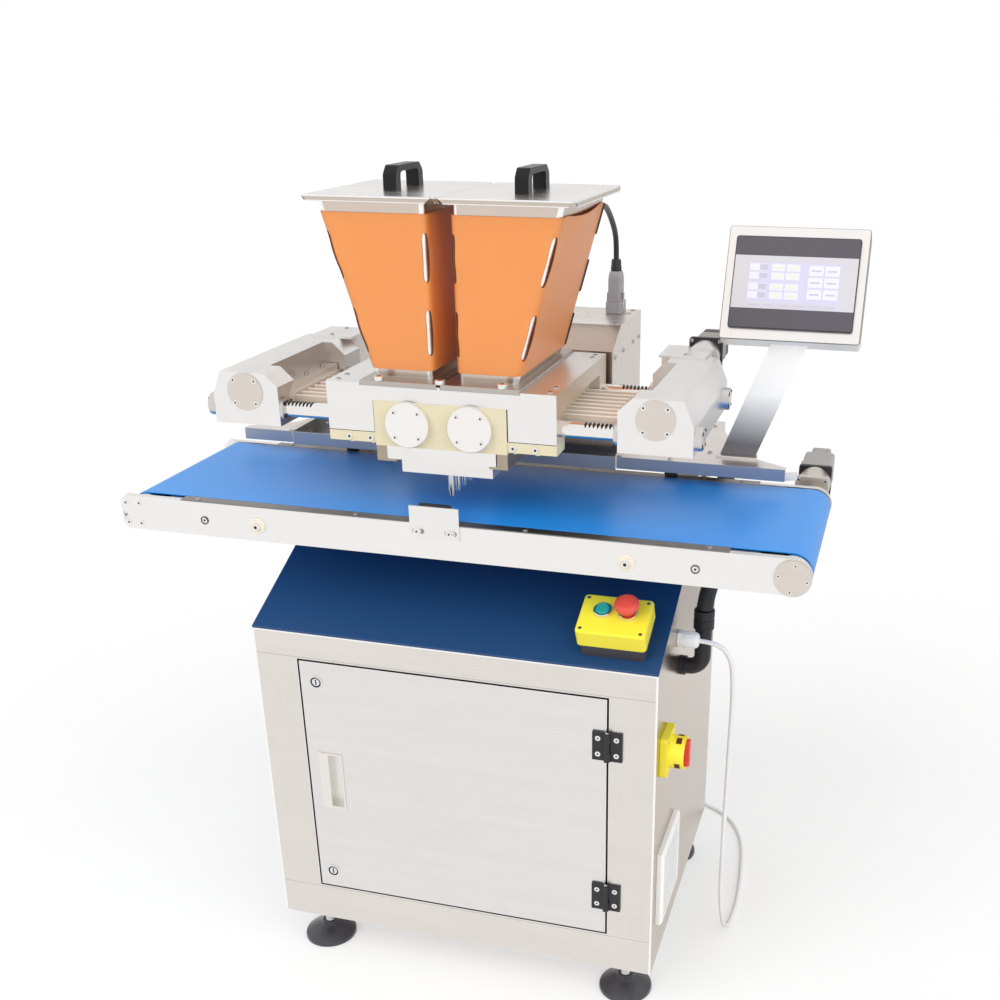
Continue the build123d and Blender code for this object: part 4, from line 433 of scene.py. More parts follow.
def socket_screw(bm, origin, axis, radius, height, socket=0.5, head=0, hole=1):
    """Round head with a rounded rim and a hexagon socket."""
    rim = min(0.3 * height, 0.2 * radius)
    levels = [(radius, -0.4), (radius, height - rim), (radius - 0.4 * rim, height - 0.3 * rim),
              (radius - 1.3 * rim, height)]
    rings = [circle(r, h, 24) for r, h in levels]
    rings += [hexagon(radius * socket, height), hexagon(radius * socket, 0.3 * height)]
    placed_loft(bm, along_axis(origin, axis), rings, [head, head, head, head, hole])


def cuboid(bm, low, high, mat=0):
    """Box between two corners."""
    (x0, y0, z0), (x1, y1, z1) = low, high
    loft(bm, [[(x, y, z) for x, y in oblong(x0, x1, y0, y1)] for z in (z0, z1)], mat)


def prism(bm, outline, along, start, end, mat=0):
    """Outline across an axis, drawn out from start to end; it is given in the order of the other axes."""
    spots = {"x": lambda a, b, c: (c, a, b), "y": lambda a, b, c: (a, c, b), "z": lambda a, b, c: (a, b, c)}
    loft(bm, [[spots[along](a, b, c) for a, b in outline] for c in (start, end)], mat)


def rounded(width, depth, corner, height=0.0, steps=6):
    """Rectangle about the origin with round corners."""
    points = []
    for k, (sx, sy) in enumerate(((1, 1), (-1, 1), (-1, -1), (1, -1))):
        for step in range(steps + 1):
            angle = math.pi / 2 * (k + step / steps)
            x = sx * (width / 2 - corner) + corner * math.cos(angle)
            y = sy * (depth / 2 - corner) + corner * math.sin(angle)
            points.append(Vector((x, y, height)))
    return points


def soft_box(bm, width, depth, corner, z0, z1, edge, place=None, mat=0):
    """Upright box with round corners and rounded top and bottom edges."""
    levels = [(edge, z0), (0.3 * edge, z0 + 0.3 * edge), (0, z0 + edge),
              (0, z1 - edge), (0.3 * edge, z1 - 0.3 * edge), (edge, z1)]
    rings = [rounded(width - 2 * inset, depth - 2 * inset, corner, z) for inset, z in levels]
    placed_loft(bm, place or Matrix.Identity(4), rings, mat)


def round_edges(bm, width, angle=30.0, segments=2, mat=-1):
    limit = math.radians(angle)
    sharp = [e for e in bm.edges if e.is_manifold and e.calc_face_angle(0.0) > limit]
    sharp = [e for e in sharp if all(v.is_manifold for v in e.verts)]
    bmesh.ops.bevel(bm, geom=sharp, offset=width, segments=segments, profile=0.5, affect="EDGES",
                    clamp_overlap=True, material=mat)


def piece(name, bm, mats, body, replaced=(), place=None, smooth=35.0, turn_out=True):
    """Makes the object from a mesh in millimetres and lets it ride on its body."""
    if place is not None:
        bmesh.ops.transform(bm, matrix=place, verts=bm.verts)
    if turn_out:
        bmesh.ops.recalc_face_normals(bm, faces=bm.faces)
    bmesh.ops.transform(bm, matrix=TO_FRAME, verts=bm.verts)
    mesh = bpy.data.meshes.new(name)
    bm.edges.index_update()
    shared = [edge.index for edge in bm.edges if not edge.is_manifold]
    bm.to_mesh(mesh)
    bm.free()
    for mat in mats:
        mesh.materials.append(mat)
    if "custom_normal" in mesh.attributes:
        mesh.attributes.remove(mesh.attributes["custom_normal"])
    mesh.shade_smooth()
    mesh.set_sharp_from_angle(angle=math.radians(smooth))
    for index in shared:
        mesh.edges[index].use_edge_sharp = True
    made = added(name, mesh)
    made.modifiers.new("even_shading", "WEIGHTED_NORMAL").keep_sharp = True
    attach(made, body)
    if replaced:
        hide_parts(*replaced)
    return made


def skin(node, bm, mats, place=None, smooth=35.0, turn_out=True):
    """The piece that takes the place of one node."""
    return piece(node + "_skin", bm, mats, NODE_BODY[node], (node,), place, smooth, turn_out)


def islands(bm):
    """Faces of each separate solid."""
    left = set(bm.faces)
    groups = []
    while left:
        group = []
        queue = [left.pop()]
        while queue:
            face = queue.pop()
            group.append(face)
            for edge in face.edges:
                for other in edge.link_faces:
                    if other in left:
                        left.remove(other)
                        queue.append(other)
        groups.append(group)
    return groups


def extent(faces):
    corners = [v.co for face in faces for v in face.verts]
    low = Vector([min(c[k] for c in corners) for k in range(3)])
    high = Vector([max(c[k] for c in corners) for k in range(3)])
    return low, high


def node_shape(node):
    """A node's own solids, in millimetres, with flat faces joined up."""
    bm = bmesh.new()
    bm.from_mesh(frame["nodes"][node].data)
    bmesh.ops.transform(bm, matrix=FROM_FRAME, verts=bm.verts)
    bmesh.ops.remove_doubles(bm, verts=bm.verts, dist=0.004)
    bmesh.ops.dissolve_limit(bm, angle_limit=math.radians(0.6), verts=bm.verts, edges=bm.edges)
    for face in bm.faces:
        face.material_index = 0
    bm.normal_update()
    return bm


def dress(node, mats, bevel=0.0, choose=None, paint=None, edge=-1):
    """Gives a node's solids rounded edges and finishes.

    choose picks a finish by solid and paint by face; edge is the finish on the rounding.
    """
    bm = node_shape(node)
    for group in islands(bm) if choose else ():
        index = choose(*extent(group))
        for face in group:
            face.material_index = index
    for face in bm.faces if paint else ():
        index = paint(face, face.calc_center_median())
        if index is not None:
            face.material_index = index
    if bevel:
        round_edges(bm, bevel, mat=edge)
    return skin(node, bm, mats, turn_out=False)


def screw_set(name, spots, axis, radius, height, body="machine", socket=0.5, mats=None):
    """Equal screws at several spots."""
    bm = bmesh.new()
    for spot in spots:
        socket_screw(bm, spot, axis, radius, height, socket)
    piece(name, bm, mats or [bright, socket_shade], body)


# Stand cabinet
panels_low, panels_high = span("cabinet_panels")
door_low, door_high = span("cabinet_door")
SIDE_X = panels_high.x
CABINET_BACK = panels_high.y
CABINET_MIDDLE = (panels_low + panels_high) / 2
SLOPE = math.radians(25)
SLOPE_FRONT_Z = 673.0


def panel_paint(face, at):
    """Right side in a darker tan that is painted shade and reflection, other outsides, and the inside of the
    sheets.
    """
    if face.normal.dot(CABINET_MIDDLE - at) > 0:
        return 2
    return 0 if face.normal.x > SQUARE_ON else 1


def cabinet():
    # The rounded edges of the front frame take the painted highlight
    dress("cabinet_front_frame", [front_steel, edge_highlight_steel], 0.7, edge=1)
    dress("cabinet_panels", [right_side_shade_steel, back_steel, inside_zinc], 0.8, paint=panel_paint)
    dress("slope_panel", [navy], 0.8)
    inset = 14.0
    low_z, high_z = panels_low.z + inset, panels_high.z - inset
    spots = [(x, CABINET_BACK, z) for x in (-SIDE_X + inset, 0, SIDE_X - inset) for z in (low_z, high_z)]
    spots += [(x, CABINET_BACK, (low_z + high_z) / 2) for x in (-SIDE_X + inset, SIDE_X - inset)]
    screw_set("back_panel_screws", spots, BACK, 5.0, 2.5)


def door():
    # The rounded edges of the door take the painted highlight
    dress("cabinet_door", [door_steel, edge_highlight_steel], 0.7, edge=1)
    dress("door_pull", [pull_steel], 0.7)


def door_lock(node):
    """Cam lock: chrome ring, groove, sunk face with a key slot, barrel, nut and cam."""
    low, high = span(node)
    x = (low.x + high.x) / 2
    ring_r, barrel_r = 12.0, 8.9
    slot_half, slot_reach = 1.1, 5.2
    cam_half, cam_tail, cam_reach = 7, 8, 42
    cam_up = low.z + high.z < door_low.z + door_high.z
    z = low.z + ring_r if cam_up else high.z - ring_r
    turn = 1 if cam_up else -1
    profile = [(barrel_r, -24), (barrel_r, -0.3), (ring_r, -0.3), (ring_r, 1.2), (11.0, 2.2), (9.6, 2.4),
               (8.6, 1.9), (8.2, 0.9), (7.2, 0.9), (7.0, 1.8), (0, 1.8)]
    bm = bmesh.new()
    # The groove and key slot take the near black as painted shade
    lathe(bm, profile, (x, 0, z), FRONT, [0, 0, 0, 0, 0, 1, 1, 1, 0, 0])
    cuboid(bm, (x - slot_half, -1.95, z - slot_reach), (x + slot_half, -1.5, z + slot_reach), 1)
    nut(bm, along_axis((x, 18.0, z), BACK), ((13.0, 0), (13.0, 4.0)))
    cam = oblong(x - cam_half, x + cam_half, z - turn * cam_tail, z + turn * cam_reach)
    prism(bm, cam, "y", 23.5, 27.0)
    skin(node, bm, [chrome, dark])


HINGE_SCREW_X, HINGE_SCREW_Z = 15.5, 14.5
HINGE_HALF, HINGE_FACE_Y, HINGE_PIN_IN = 26.0, -3.9, 5.0


def hinges():
    """Black leaves with countersunk screws, and the bright pin ends."""
    dress("frame_hinge_leaves", [black_metal], 0.9)
    dress("door_hinge_leaves", [black_metal], 0.9)
    frame_low, frame_high = span("frame_hinge_leaves")
    hinge_x = (span("door_hinge_leaves")[0].x + frame_high.x) / 2
    middles = (frame_high.z - HINGE_HALF, frame_low.z + HINGE_HALF)
    heights = [z + dz for z in middles for dz in (-HINGE_SCREW_Z, HINGE_SCREW_Z)]
    for side, sign, body in (("frame", 1, "machine"), ("door", -1, "door")):
        spots = [(hinge_x + sign * HINGE_SCREW_X, HINGE_FACE_Y, z) for z in heights]
        screw_set(side + "_hinge_screws", spots, FRONT, 4.6, 0.9, body, 0.42, [white_steel, socket_shade])
    bm = bmesh.new()
    for z in middles:
        pin = (hinge_x, frame_low.y + HINGE_PIN_IN, z + HINGE_HALF)
        lathe(bm, [(2.6, 0), (2.6, 0.5), (1.8, 1.0), (0, 1.1)], pin, UP)
    piece("hinge_pin_ends", bm, [white_steel], "machine")


def feet():
    """Dished pads, threaded studs and lock nuts."""
    bm = bmesh.new()
    low, high = span("levelling_feet")
    pad_r, pad_top, top = 48.0, 32.0, high.z
    stud_r, root_r, pitch, ridges = 8.0, 7.1, 2.5, 18
    pad = [(0, 0), (46.5, 0), (48, 1.5), (48, 5.0), (46.8, 8.2), (41, 12.0), (32, 17.2), (23, 21.6),
           (17, 24.4), (15, 26.4), (15, 31.0), (14.2, pad_top), (0, pad_top)]
    thread = []
    for k in range(ridges):
        thread += [(stud_r, pad_top + pitch * k), (root_r, pad_top + pitch / 2 + pitch * k)]
    stud = [(0, pad_top - 1)] + thread + [(0, top - 4)]
    for x in (low.x + pad_r, high.x - pad_r):
        for y in (low.y + pad_r, high.y - pad_r):
            lathe(bm, pad, (x, y, 0), UP, 0, 48)
            lathe(bm, stud, (x, y, 0), UP, 1, 24)
            nut(bm, moved(x, y), ((12.6, top - 10), (14, top - 9), (14, top - 1), (12.6, top)), 1)
    skin("levelling_feet", bm, [foot_black, bright])


# Two-button box, laid out square to the slope
BOX_H, BOX_W, BOX_D = 60.0, 112.0, 80.0
BOX_UP_SLOPE = 59.0
BOX_SCREW_IN = 8
START_X, STOP_X, BUTTON_V = -20.0, 20.0, 7.0
START_PROFILE = [(0, -14), (5, -14), (5, -3), (11, -3), (11, 6.6), (10.6, 7.5), (9.8, 8), (8.9, 7.9),
                 (8.5, 7.2), (0, 7.0)]
STOP_PROFILE = [(0, -14), (5, -14), (5, -3), (10.8, -3), (10.8, 10.8), (12.2, 12.4), (15.4, 14.6),
                (18.2, 16.4), (19.6, 18.6), (20, 21), (19.7, 23.4), (18.4, 25.8), (16, 27.6), (13.4, 28.5),
                (12.9, 28.0), (12.1, 28.0), (11.6, 28.7), (6, 29), (0, 29)]
box_low, box_high = span("control_box_cover")
box_cos, box_sin = math.cos(SLOPE), math.sin(SLOPE)
ON_SLOPE = Matrix(((1, 0, 0, (box_low.x + box_high.x) / 2),
                   (0, box_cos, -box_sin, BOX_UP_SLOPE * box_cos),
                   (0, box_sin, box_cos, SLOPE_FRONT_Z + BOX_UP_SLOPE * box_sin),
                   (0, 0, 0, 1)))


def control_box():
    dress("control_box_base", [base_black], 0.6)
    dress("control_box_cover", [yellow], 0.5)
    bm = bmesh.new()
    for sx, sy in CORNERS:
        corner = (sx * (BOX_W / 2 - BOX_SCREW_IN), sy * (BOX_D / 2 - BOX_SCREW_IN), BOX_H - 0.2)
        socket_screw(bm, corner, UP, 3.0, 0.7, 0.55)
    piece("control_box_screws", bm, [bright, socket_shade], "machine", place=ON_SLOPE)
    bm = bmesh.new()
    for x, grow in ((START_X, 0.0), (STOP_X, 0.9)):
        collar = [(11.45, -0.2), (11.45, 5.0), (12.3, 5.7), (13.6, 5.6), (14.7 + grow, 4.6),
                  (15.1 + grow, 2.0), (15.9 + grow, 0.8), (15.9 + grow, -0.2)]
        ring_lathe(bm, [(r, BOX_H + h) for r, h in collar], (x, BUTTON_V, 0), UP, 0, 48)
    piece("button_collars", bm, [chrome], "machine", place=ON_SLOPE)


def button(node, x, profile, mat):
    bm = bmesh.new()
    lathe(bm, [(r, BOX_H + h) for r, h in profile], (x, BUTTON_V, 0), UP, 0, 56)
    skin(node, bm, [mat], ON_SLOPE)


def isolator():
    """Yellow plate and shroud with lock slots, and the red handle."""
    low, high = span("isolator_base")
    y, z = (low.y + high.y) / 2, (low.z + high.z) / 2
    dress("isolator_base", [yellow], 0.8)
    dress("isolator_knob", [red], 1.0)
    shroud_r, upper, lower = 28.0, 1.2, 0.5
    plate_t, screw_y, screw_z = 12.9, 25.5, 29
    slot = oblong(23, 32, -6, 6)
    bm = bmesh.new()
    for a in (-upper, lower, math.pi + upper, math.pi - lower):
        place = moved(SIDE_X, y, z) @ Matrix.Rotation(math.pi + a, 4, "X")
        placed_loft(bm, place, [[(x, shroud_r + lift, w) for x, w in slot] for lift in (-1.2, 0.15)])
    # Sheets of dark orange in the shroud's lock slots: painted shade
    piece("isolator_lock_slots", bm, [orange_edge_shade], "machine")
    spots = [(low.x + plate_t, y + sy * screw_y, z + sz * screw_z) for sy, sz in CORNERS]
    screw_set("isolator_plate_screws", spots, RIGHT, 2.6, 0.6, "machine", 0.55)


def vent():
    """White grille whose slot floors are painted grey as shade."""
    slot_floor_x = span("vent_grille")[1].x - 2
    dress("vent_grille", [white, shade], 0.5,
          paint=lambda face, at: 1 if face.normal.x > SQUARE_ON and at.x < slot_floor_x else 0)


GLAND_Y, GLAND_Z = 155.0, 665.0


def mains_gland():
    """Screwed gland: hexagon, ribbed collar and fluted clamping dome."""
    bm = bmesh.new()
    at = (SIDE_X, GLAND_Y, GLAND_Z)
    place = along_axis(at, RIGHT)
    nut(bm, place, ((14.5, 0), (15.5, 1.0), (15.5, 7.0), (14.5, 8.0)))
    dome = [(12.0, 7.9), (14.0, 8.3), (14.0, 10.4), (12.8, 11), (12.8, 12.2), (14.0, 12.8), (14.0, 27.5),
            (13.2, 31.4), (11.4, 34.2), (8.6, 35.6), (5.6, 36.0), (4.3, 36.0), (4.3, 20.0)]
    lathe(bm, dome, at, RIGHT, 0, 36)
    flute = [(13.7, -1.2, 13.6), (14.5, -0.9, 14.2), (14.5, -0.9, 26.6), (13.7, -1.2, 27.4)]
    for a in turns(12):
        turned = place @ Matrix.Rotation(a, 4, "Z")
        placed_loft(bm, turned, [[(r, s * w, h) for r, w, h in flute] for s in (1, -1)])
    skin("mains_gland", bm, [white])


cabinet()
door()
door_lock("upper_door_lock")
door_lock("lower_door_lock")
hinges()
feet()
control_box()
button("start_button", START_X, START_PROFILE, green)
button("estop_button", STOP_X, STOP_PROFILE, red)
isolator()
vent()
mains_gland()
dress("mains_plug", [white], 0.8)

# Belt conveyor
STRIP_TOP = 887.0
FRONT_STRIP_Y, REAR_STRIP_Y = 9.0, 336.0
STOP_XS = (-302.0, 295.0)
STRIP_SCREWS = (-425.0, -145.0, 135.0, 419.0)
belt_low, belt_high = span("conveyor_belt")
AXLE_Z = (belt_low.z + belt_high.z) / 2


def rail_finish(low, high):
    """Rail, bearing cap or smaller metal, told apart by size."""
    if high.x - low.x > 500:
        return 0
    return 1 if high.y - low.y < 5 else 2


def conveyor_frame():
    dress("conveyor_frame", [rail_alu, cap_alu, bright], 0.8, rail_finish)
    dress("conveyor_bed", [strip_steel], 0.3)
    dress("conveyor_belt", [belt_blue], 0.5)
    for name, y in (("edge_strip_screws", FRONT_STRIP_Y), ("rear_strip_screws", REAR_STRIP_Y)):
        screw_set(name, [(x, y, STRIP_TOP - SINK) for x in STRIP_SCREWS], UP, 4.0, 1.8)
    bm = bmesh.new()
    for x in STOP_XS:
        soft_box(bm, 22, 12, 2.5, STRIP_TOP, STRIP_TOP + 9, 1.2, moved(x, REAR_STRIP_Y))
    piece("rear_edge_stops", bm, [black], "machine")


def roller(node):
    """Turned roller with recessed ends and journals."""
    low, high = span(node)
    x, r, journal, proud = (low.x + high.x) / 2, (high.x - low.x) / 2, 10.0, 6.0
    y0, y1 = belt_low.y - proud, belt_high.y + proud
    near = [(0, low.y), (journal - 0.8, low.y), (journal, low.y + 0.8), (journal, y0 + 3.5),
            (journal + 3, y0 + 3.5), (journal + 4, y0 + 1), (r - 7, y0 + 1), (r - 5.5, y0 + 3),
            (r - 3, y0 + 3), (r - 2.4, y0), (r - 0.8, y0), (r, y0 + 0.8)]
    far = [(r, y1 - 0.8), (r - 0.8, y1), (r - 2.4, y1), (r - 3, y1 - 3), (journal, y1 - 3),
           (journal, high.y - 0.8), (journal - 0.8, high.y), (0, high.y)]
    bm = bmesh.new()
    lathe(bm, near + far, (x, 0, AXLE_Z), BACK, 0, 48)
    skin(node, bm, [bright])


def sensor():
    """Slotted plate on the rail with its screws, and the mould sensor behind it."""
    low, high = span("sensor_bracket")
    bm = bmesh.new()
    prism(bm, oblong(low.x, high.x, low.z, high.z - 2), "y", low.y, -0.05)
    round_edges(bm, 0.6)
    skin("sensor_bracket", bm, [plate_alu])
    slot_in, slot_z, screw_off = 14, low.z + 12, 2
    washer = [(6.4, 0), (6.4, 0.8), (6.0, 1.1), (3, 1.1)]
    slots, screws = bmesh.new(), bmesh.new()
    for x in (low.x + slot_in, high.x - slot_in):
        place = moved(x, low.y, slot_z) @ Matrix.Rotation(math.pi / 2, 4, "X")
        placed_loft(slots, place, [rounded(20, 8.4, 4.15, h) for h in (-0.1, 0.12)])
        lathe(screws, washer, (x - screw_off, low.y - 0.1, slot_z), FRONT, 0, 28)
        socket_screw(screws, (x - screw_off, low.y - 1.1, slot_z), FRONT, 4.0, 2.2)
    piece("sensor_plate_slots", slots, [shade], "machine")
    piece("sensor_plate_screws", screws, [white_steel, socket_shade], "machine")
    block = bmesh.new()
    middle = moved((low.x + high.x) / 2, (high.y + 0.3) / 2)
    soft_box(block, 52, high.y - 0.4, 1.5, 896, high.z, 0.8, middle)
    piece("mould_sensor", block, [black], "machine")


GM_X, GM_Z, GM_W = 533.0, 866.0, 57.0
DRIVE_X = 540.0
# Width, height, corner, near end, far end, rounding and finish of each square block
GM_BLOCKS = (
    (GM_W, GM_W, 4, 366, 374, 1.0, 0),
    (GM_W, GM_W, 4, 430, 440, 1.0, 1),
    (GM_W - 1, GM_W - 1, 5, 439.6, 464, 1.4, 2),
    (48, 48, 4, 463.6, 468.4, 0.3, 1),
    (53, 53, 6, 468, 524, 1.6, 2),
    (34, 48, 4, 523.6, 562, 2.0, 2),
)


def gearmotor():
    """Output boss, square flange, round gearhead, and the stepped motor behind its black flange."""
    bm = bmesh.new()
    r = GM_W / 2
    boss = [(10.1, 344), (22, 344), (22, 355), (20.8, 356), (20.8, 358), (22, 359), (22, 367)]
    head = [(20, 373.5), (r, 373.6), (r, 384), (r - 1, 385), (r - 1, 387), (r, 388), (r, 426),
            (r - 1.2, 428), (r - 1.2, 431)]
    lathe(bm, boss, (DRIVE_X, 0, AXLE_Z), BACK, 0, 44)
    lathe(bm, head, (GM_X, 0, GM_Z), BACK, 0, 56)
    for width, height, corner, near, far, edge, mat in GM_BLOCKS:
        soft_box(bm, width, height, corner, near, far, edge, looking_back(GM_X, GM_Z), mat)
    for sx, sz in CORNERS:
        socket_screw(bm, (GM_X + sx * 23, 366, GM_Z + sz * 23), FRONT, 3.4, 2.4, head=3, hole=4)
        socket_screw(bm, (GM_X + sx * 20, 523.9, GM_Z + sz * 22), BACK, 2.2, 1.4, head=3, hole=4)
    for sx in (-1, 1):
        socket_screw(bm, (GM_X + sx * 11, 543, GM_Z + 23.9), UP, 2.0, 1.0, head=3, hole=4)
    skin("conveyor_gearmotor", bm, [cap_alu, black_metal, motor_grey, bright, dark])


conveyor_frame()
roller("drive_roller")
roller("idler_roller")
sensor()
gearmotor()

# Deck and drip tray
deck_low, deck_high = span("deck_plate")
DECK_TOP, DECK_LIP_FOOT = 927.0, 900


def deck():
    # Front faces of the deck and tray take the darker bluish copy as painted shade
    dress("deck_plate", [deck_steel, lip_shade_steel], 0.5,
          paint=lambda face, at: 1 if face.normal.y < -SQUARE_ON and at.z > DECK_LIP_FOOT else 0)
    dress("drip_tray", [tray_steel, lip_shade_steel], 0.3,
          paint=lambda face, at: 1 if face.normal.y < -SQUARE_ON else 0)
    bm = bmesh.new()
    x, y = deck_high.x, deck_low.y
    flap = [(x - 1, y), (x + 19, y + 9), (x + 19, y + 10.5), (x - 1, y + 1.5)]
    prism(bm, flap, "z", 908.0, 922.0)
    round_edges(bm, 0.4)
    piece("deck_lip_flap", bm, [deck_steel], "machine")
    spots = both_sides((x, y, DECK_TOP - SINK) for x, y in ((300, 299), (358, 356), (340, 520)))
    screw_set("deck_screws", spots, UP, 4.5, 2.2)


deck()

# Depositing head
SPOOL_X, SPOOL_Z = 50.0, 1037.0
BODY_HALF_W, PLATE_UNDER, BLOCK_UNDER = 106.0, 1069.5, 1020.5
ROD_YS, ROD_Z, ROD_R = (47.0, 288.0), 1039.5, 12.5
RACK_TIP_Z, RACK_IN_X, RACK_OUT_X = 1051.0, 200, 385
PAD_XS, PAD_SCREW_Z, PAD_UNDER, PAD_BOLT_YS = (115, 150), 1011, 1004.2, (31, 51)
TOP_SCREW_X, TOP_SCREW_YS = 169, (36, 66, 278, 298)
head_low, head_high = span("head_frame")


def rack_gap_shade(_, at):
    """Painted shade, in the black coating, for the gaps between the rack teeth."""
    off = min(math.hypot(at.y - y, at.z - ROD_Z) for y in ROD_YS)
    on_rack = RACK_IN_X < abs(at.x) < RACK_OUT_X
    return 1 if on_rack and off < ROD_R - 0.6 and at.z < RACK_TIP_Z - 0.3 else 0


def head():
    # The head's side faces take the tan copy of the aluminium as painted shade
    dress("head_frame", [plate_alu, side_shade_alu], 0.8,
          paint=lambda face, at: 1 if abs(face.normal.x) > SQUARE_ON else 0)
    dress("valve_body", [cream], 0.6)
    dress("nozzle_plates", [plate_alu, clamp_steel], 0.6, lambda low, high: 1 if high.x - low.x < 40 else 0)
    dress("nozzles", [bright], 0.3)
    dress("rack_rods", [rod_steel, black_metal], paint=rack_gap_shade)
    for side, _ in SIDES:
        # Weighted shading leaves zero normals round the spools' slots
        dress(side + "_valve_spool", [cream]).modifiers.clear()


def spool_covers():
    low, high = span("spool_covers")
    thick, r = high.y - low.y, (high.z - low.z) / 2
    profile = [(0, 0), (r, 0), (r, thick - 1.2), (r - 1.2, thick), (0, thick)]
    bm = bmesh.new()
    for s in (-1, 1):
        lathe(bm, profile, (s * SPOOL_X, high.y, SPOOL_Z), FRONT, 0, 64)
    skin("spool_covers", bm, [cover_alu])


def block_seams():
    """Dark joints between the head's blocks and its plate."""
    bm = bmesh.new()
    y0, y1, half = head_low.y - 0.06, head_low.y + 0.5, 0.8
    for s in (-1, 1):
        x = s * (BODY_HALF_W + half)
        cuboid(bm, (x - half, y0, BLOCK_UNDER), (x + half, y1, PLATE_UNDER))
        inner, outer = sorted((x, s * head_high.x))
        cuboid(bm, (inner, y0, BLOCK_UNDER - 0.7), (outer, y1, BLOCK_UNDER + 0.3))
    piece("block_seams", bm, [dark], "machine")


def head_screws():
    tops = both_sides((TOP_SCREW_X, y, head_high.z - SINK) for y in TOP_SCREW_YS)
    screw_set("head_top_screws", tops, UP, 4.6, 1.4, "machine", 0.6)
    pads = both_sides((x, head_low.y + SINK, PAD_SCREW_Z) for x in PAD_XS)
    screw_set("pad_screws", pads, FRONT, 5.0, 2.0, mats=[white_steel, socket_shade])
    bolts = both_sides((x, y, PAD_UNDER) for x in PAD_XS for y in PAD_BOLT_YS)
    screw_set("pad_bolts", bolts, DOWN, 4.6, 4.0)


head()
spool_covers()
block_seams()
head_screws()

# Carriages with their bushes, caps and servo motors
CAP_X, CAP_FACE_Y, CAP_Z, CAP_SCREW_R = 328.5, 28.1, 1066.0, 25.5
CASE_TOP, CASE_SCREW_X, CASE_SCREW_YS = 1100.0, 317, (320, 379)
BAR_TOP, BAR_SCREW_X, BAR_SCREW_YS = 1062.0, 298, (120, 178, 236)
BUSH_OUT_X, BUSH_IN_X, BUSH_R, BUSH_SCREW_R = 396.5, 266.5, 21.0, 15.2
CARRIAGE_IN_X, CARRIAGE_OUT_X = 272.0, 385.0
POCKET_Y0, POCKET_Y1, POCKET_FLOOR, POCKET_IN_X = 86, 271, 1026, 300


def carriage_finish(low, high):
    """Housing, gear case, bearing cap or rod bush, told apart by size."""
    depth = high.y - low.y
    if depth > 200:
        return 0
    if depth < 5:
        return 2
    return 1 if high.x - low.x > 45 else 3


def bush_paint(_, at):
    """Steel of the rod bushes, which stand out of both sides of the housing."""
    near_rod = min(math.hypot(at.y - y, at.z - ROD_Z) for y in ROD_YS) < BUSH_R
    return 3 if near_rod and not CARRIAGE_IN_X + 0.5 < abs(at.x) < CARRIAGE_OUT_X - 0.5 else None


def piston_paint(face, _):
    """Shade on the flanks between the pistons."""
    flank = face.normal.y < -0.45 or face.normal.z < 0.45
    return 2 if flank and face.material_index == 0 and abs(face.normal.x) < 0.5 else None


def carriage(side, sign):
    body = side + "_carriage"
    finishes = [car_alu, case_alu, cap_alu, bush_steel, pocket_shade_alu]
    made = dress(body, finishes, 0.9, carriage_finish, bush_paint)
    pocket_faces(made.data, sign)
    dress(side + "_pistons", [piston_resin, bar_alu, piston_shade], 0.4,
          lambda low, high: 0 if high.x - low.x > 60 else 1, piston_paint)
    dress(side + "_pinion_shaft", [bright])
    dress(side + "_motor_gear", [bright])
    cap = []
    for k in range(4):
        a = math.pi / 4 + k * math.pi / 2
        x, z = sign * CAP_X + CAP_SCREW_R * math.cos(a), CAP_Z + CAP_SCREW_R * math.sin(a)
        cap.append((x, CAP_FACE_Y, z))
    screw_set(side + "_cap_screws", cap, FRONT, 4.0, 0.9, body, 0.5, [white_steel, socket_shade])
    case = [(sign * CASE_SCREW_X, y, CASE_TOP - SINK) for y in CASE_SCREW_YS]
    screw_set(side + "_case_screws", case, UP, 4.4, 1.8, body)
    pins = [(sign * BAR_SCREW_X, y, BAR_TOP - SINK) for y in BAR_SCREW_YS]
    screw_set(side + "_bar_screws", pins, UP, 4.0, 5.0, body)
    bush_screws(side, sign)
    servo(side)


def bush_screws(side, sign):
    """Four small screws in each end of both rod bushes."""
    bm = bmesh.new()
    for y in ROD_YS:
        for a in (0.7, 2.4, 3.9, 5.5):
            for x, axis in ((sign * BUSH_OUT_X, (sign, 0, 0)), (sign * BUSH_IN_X, (-sign, 0, 0))):
                spot = (x, y + BUSH_SCREW_R * math.cos(a), ROD_Z + BUSH_SCREW_R * math.sin(a))
                socket_screw(bm, spot, axis, 2.6, 1.8, 0.55)
    piece(side + "_bush_screws", bm, [black_metal, dark], side + "_carriage")


def pocket_faces(mesh, sign):
    """Gives the upright walls of the pocket their own milled grain, in a darker tone that is painted shade.
    """
    for face in mesh.polygons:
        at = FROM_FRAME @ face.center
        inside = POCKET_Y0 < at.y < POCKET_Y1 and at.z > POCKET_FLOOR and abs(at.x) > POCKET_IN_X
        if inside and face.normal.x * sign < -SQUARE_ON:
            face.material_index = 4


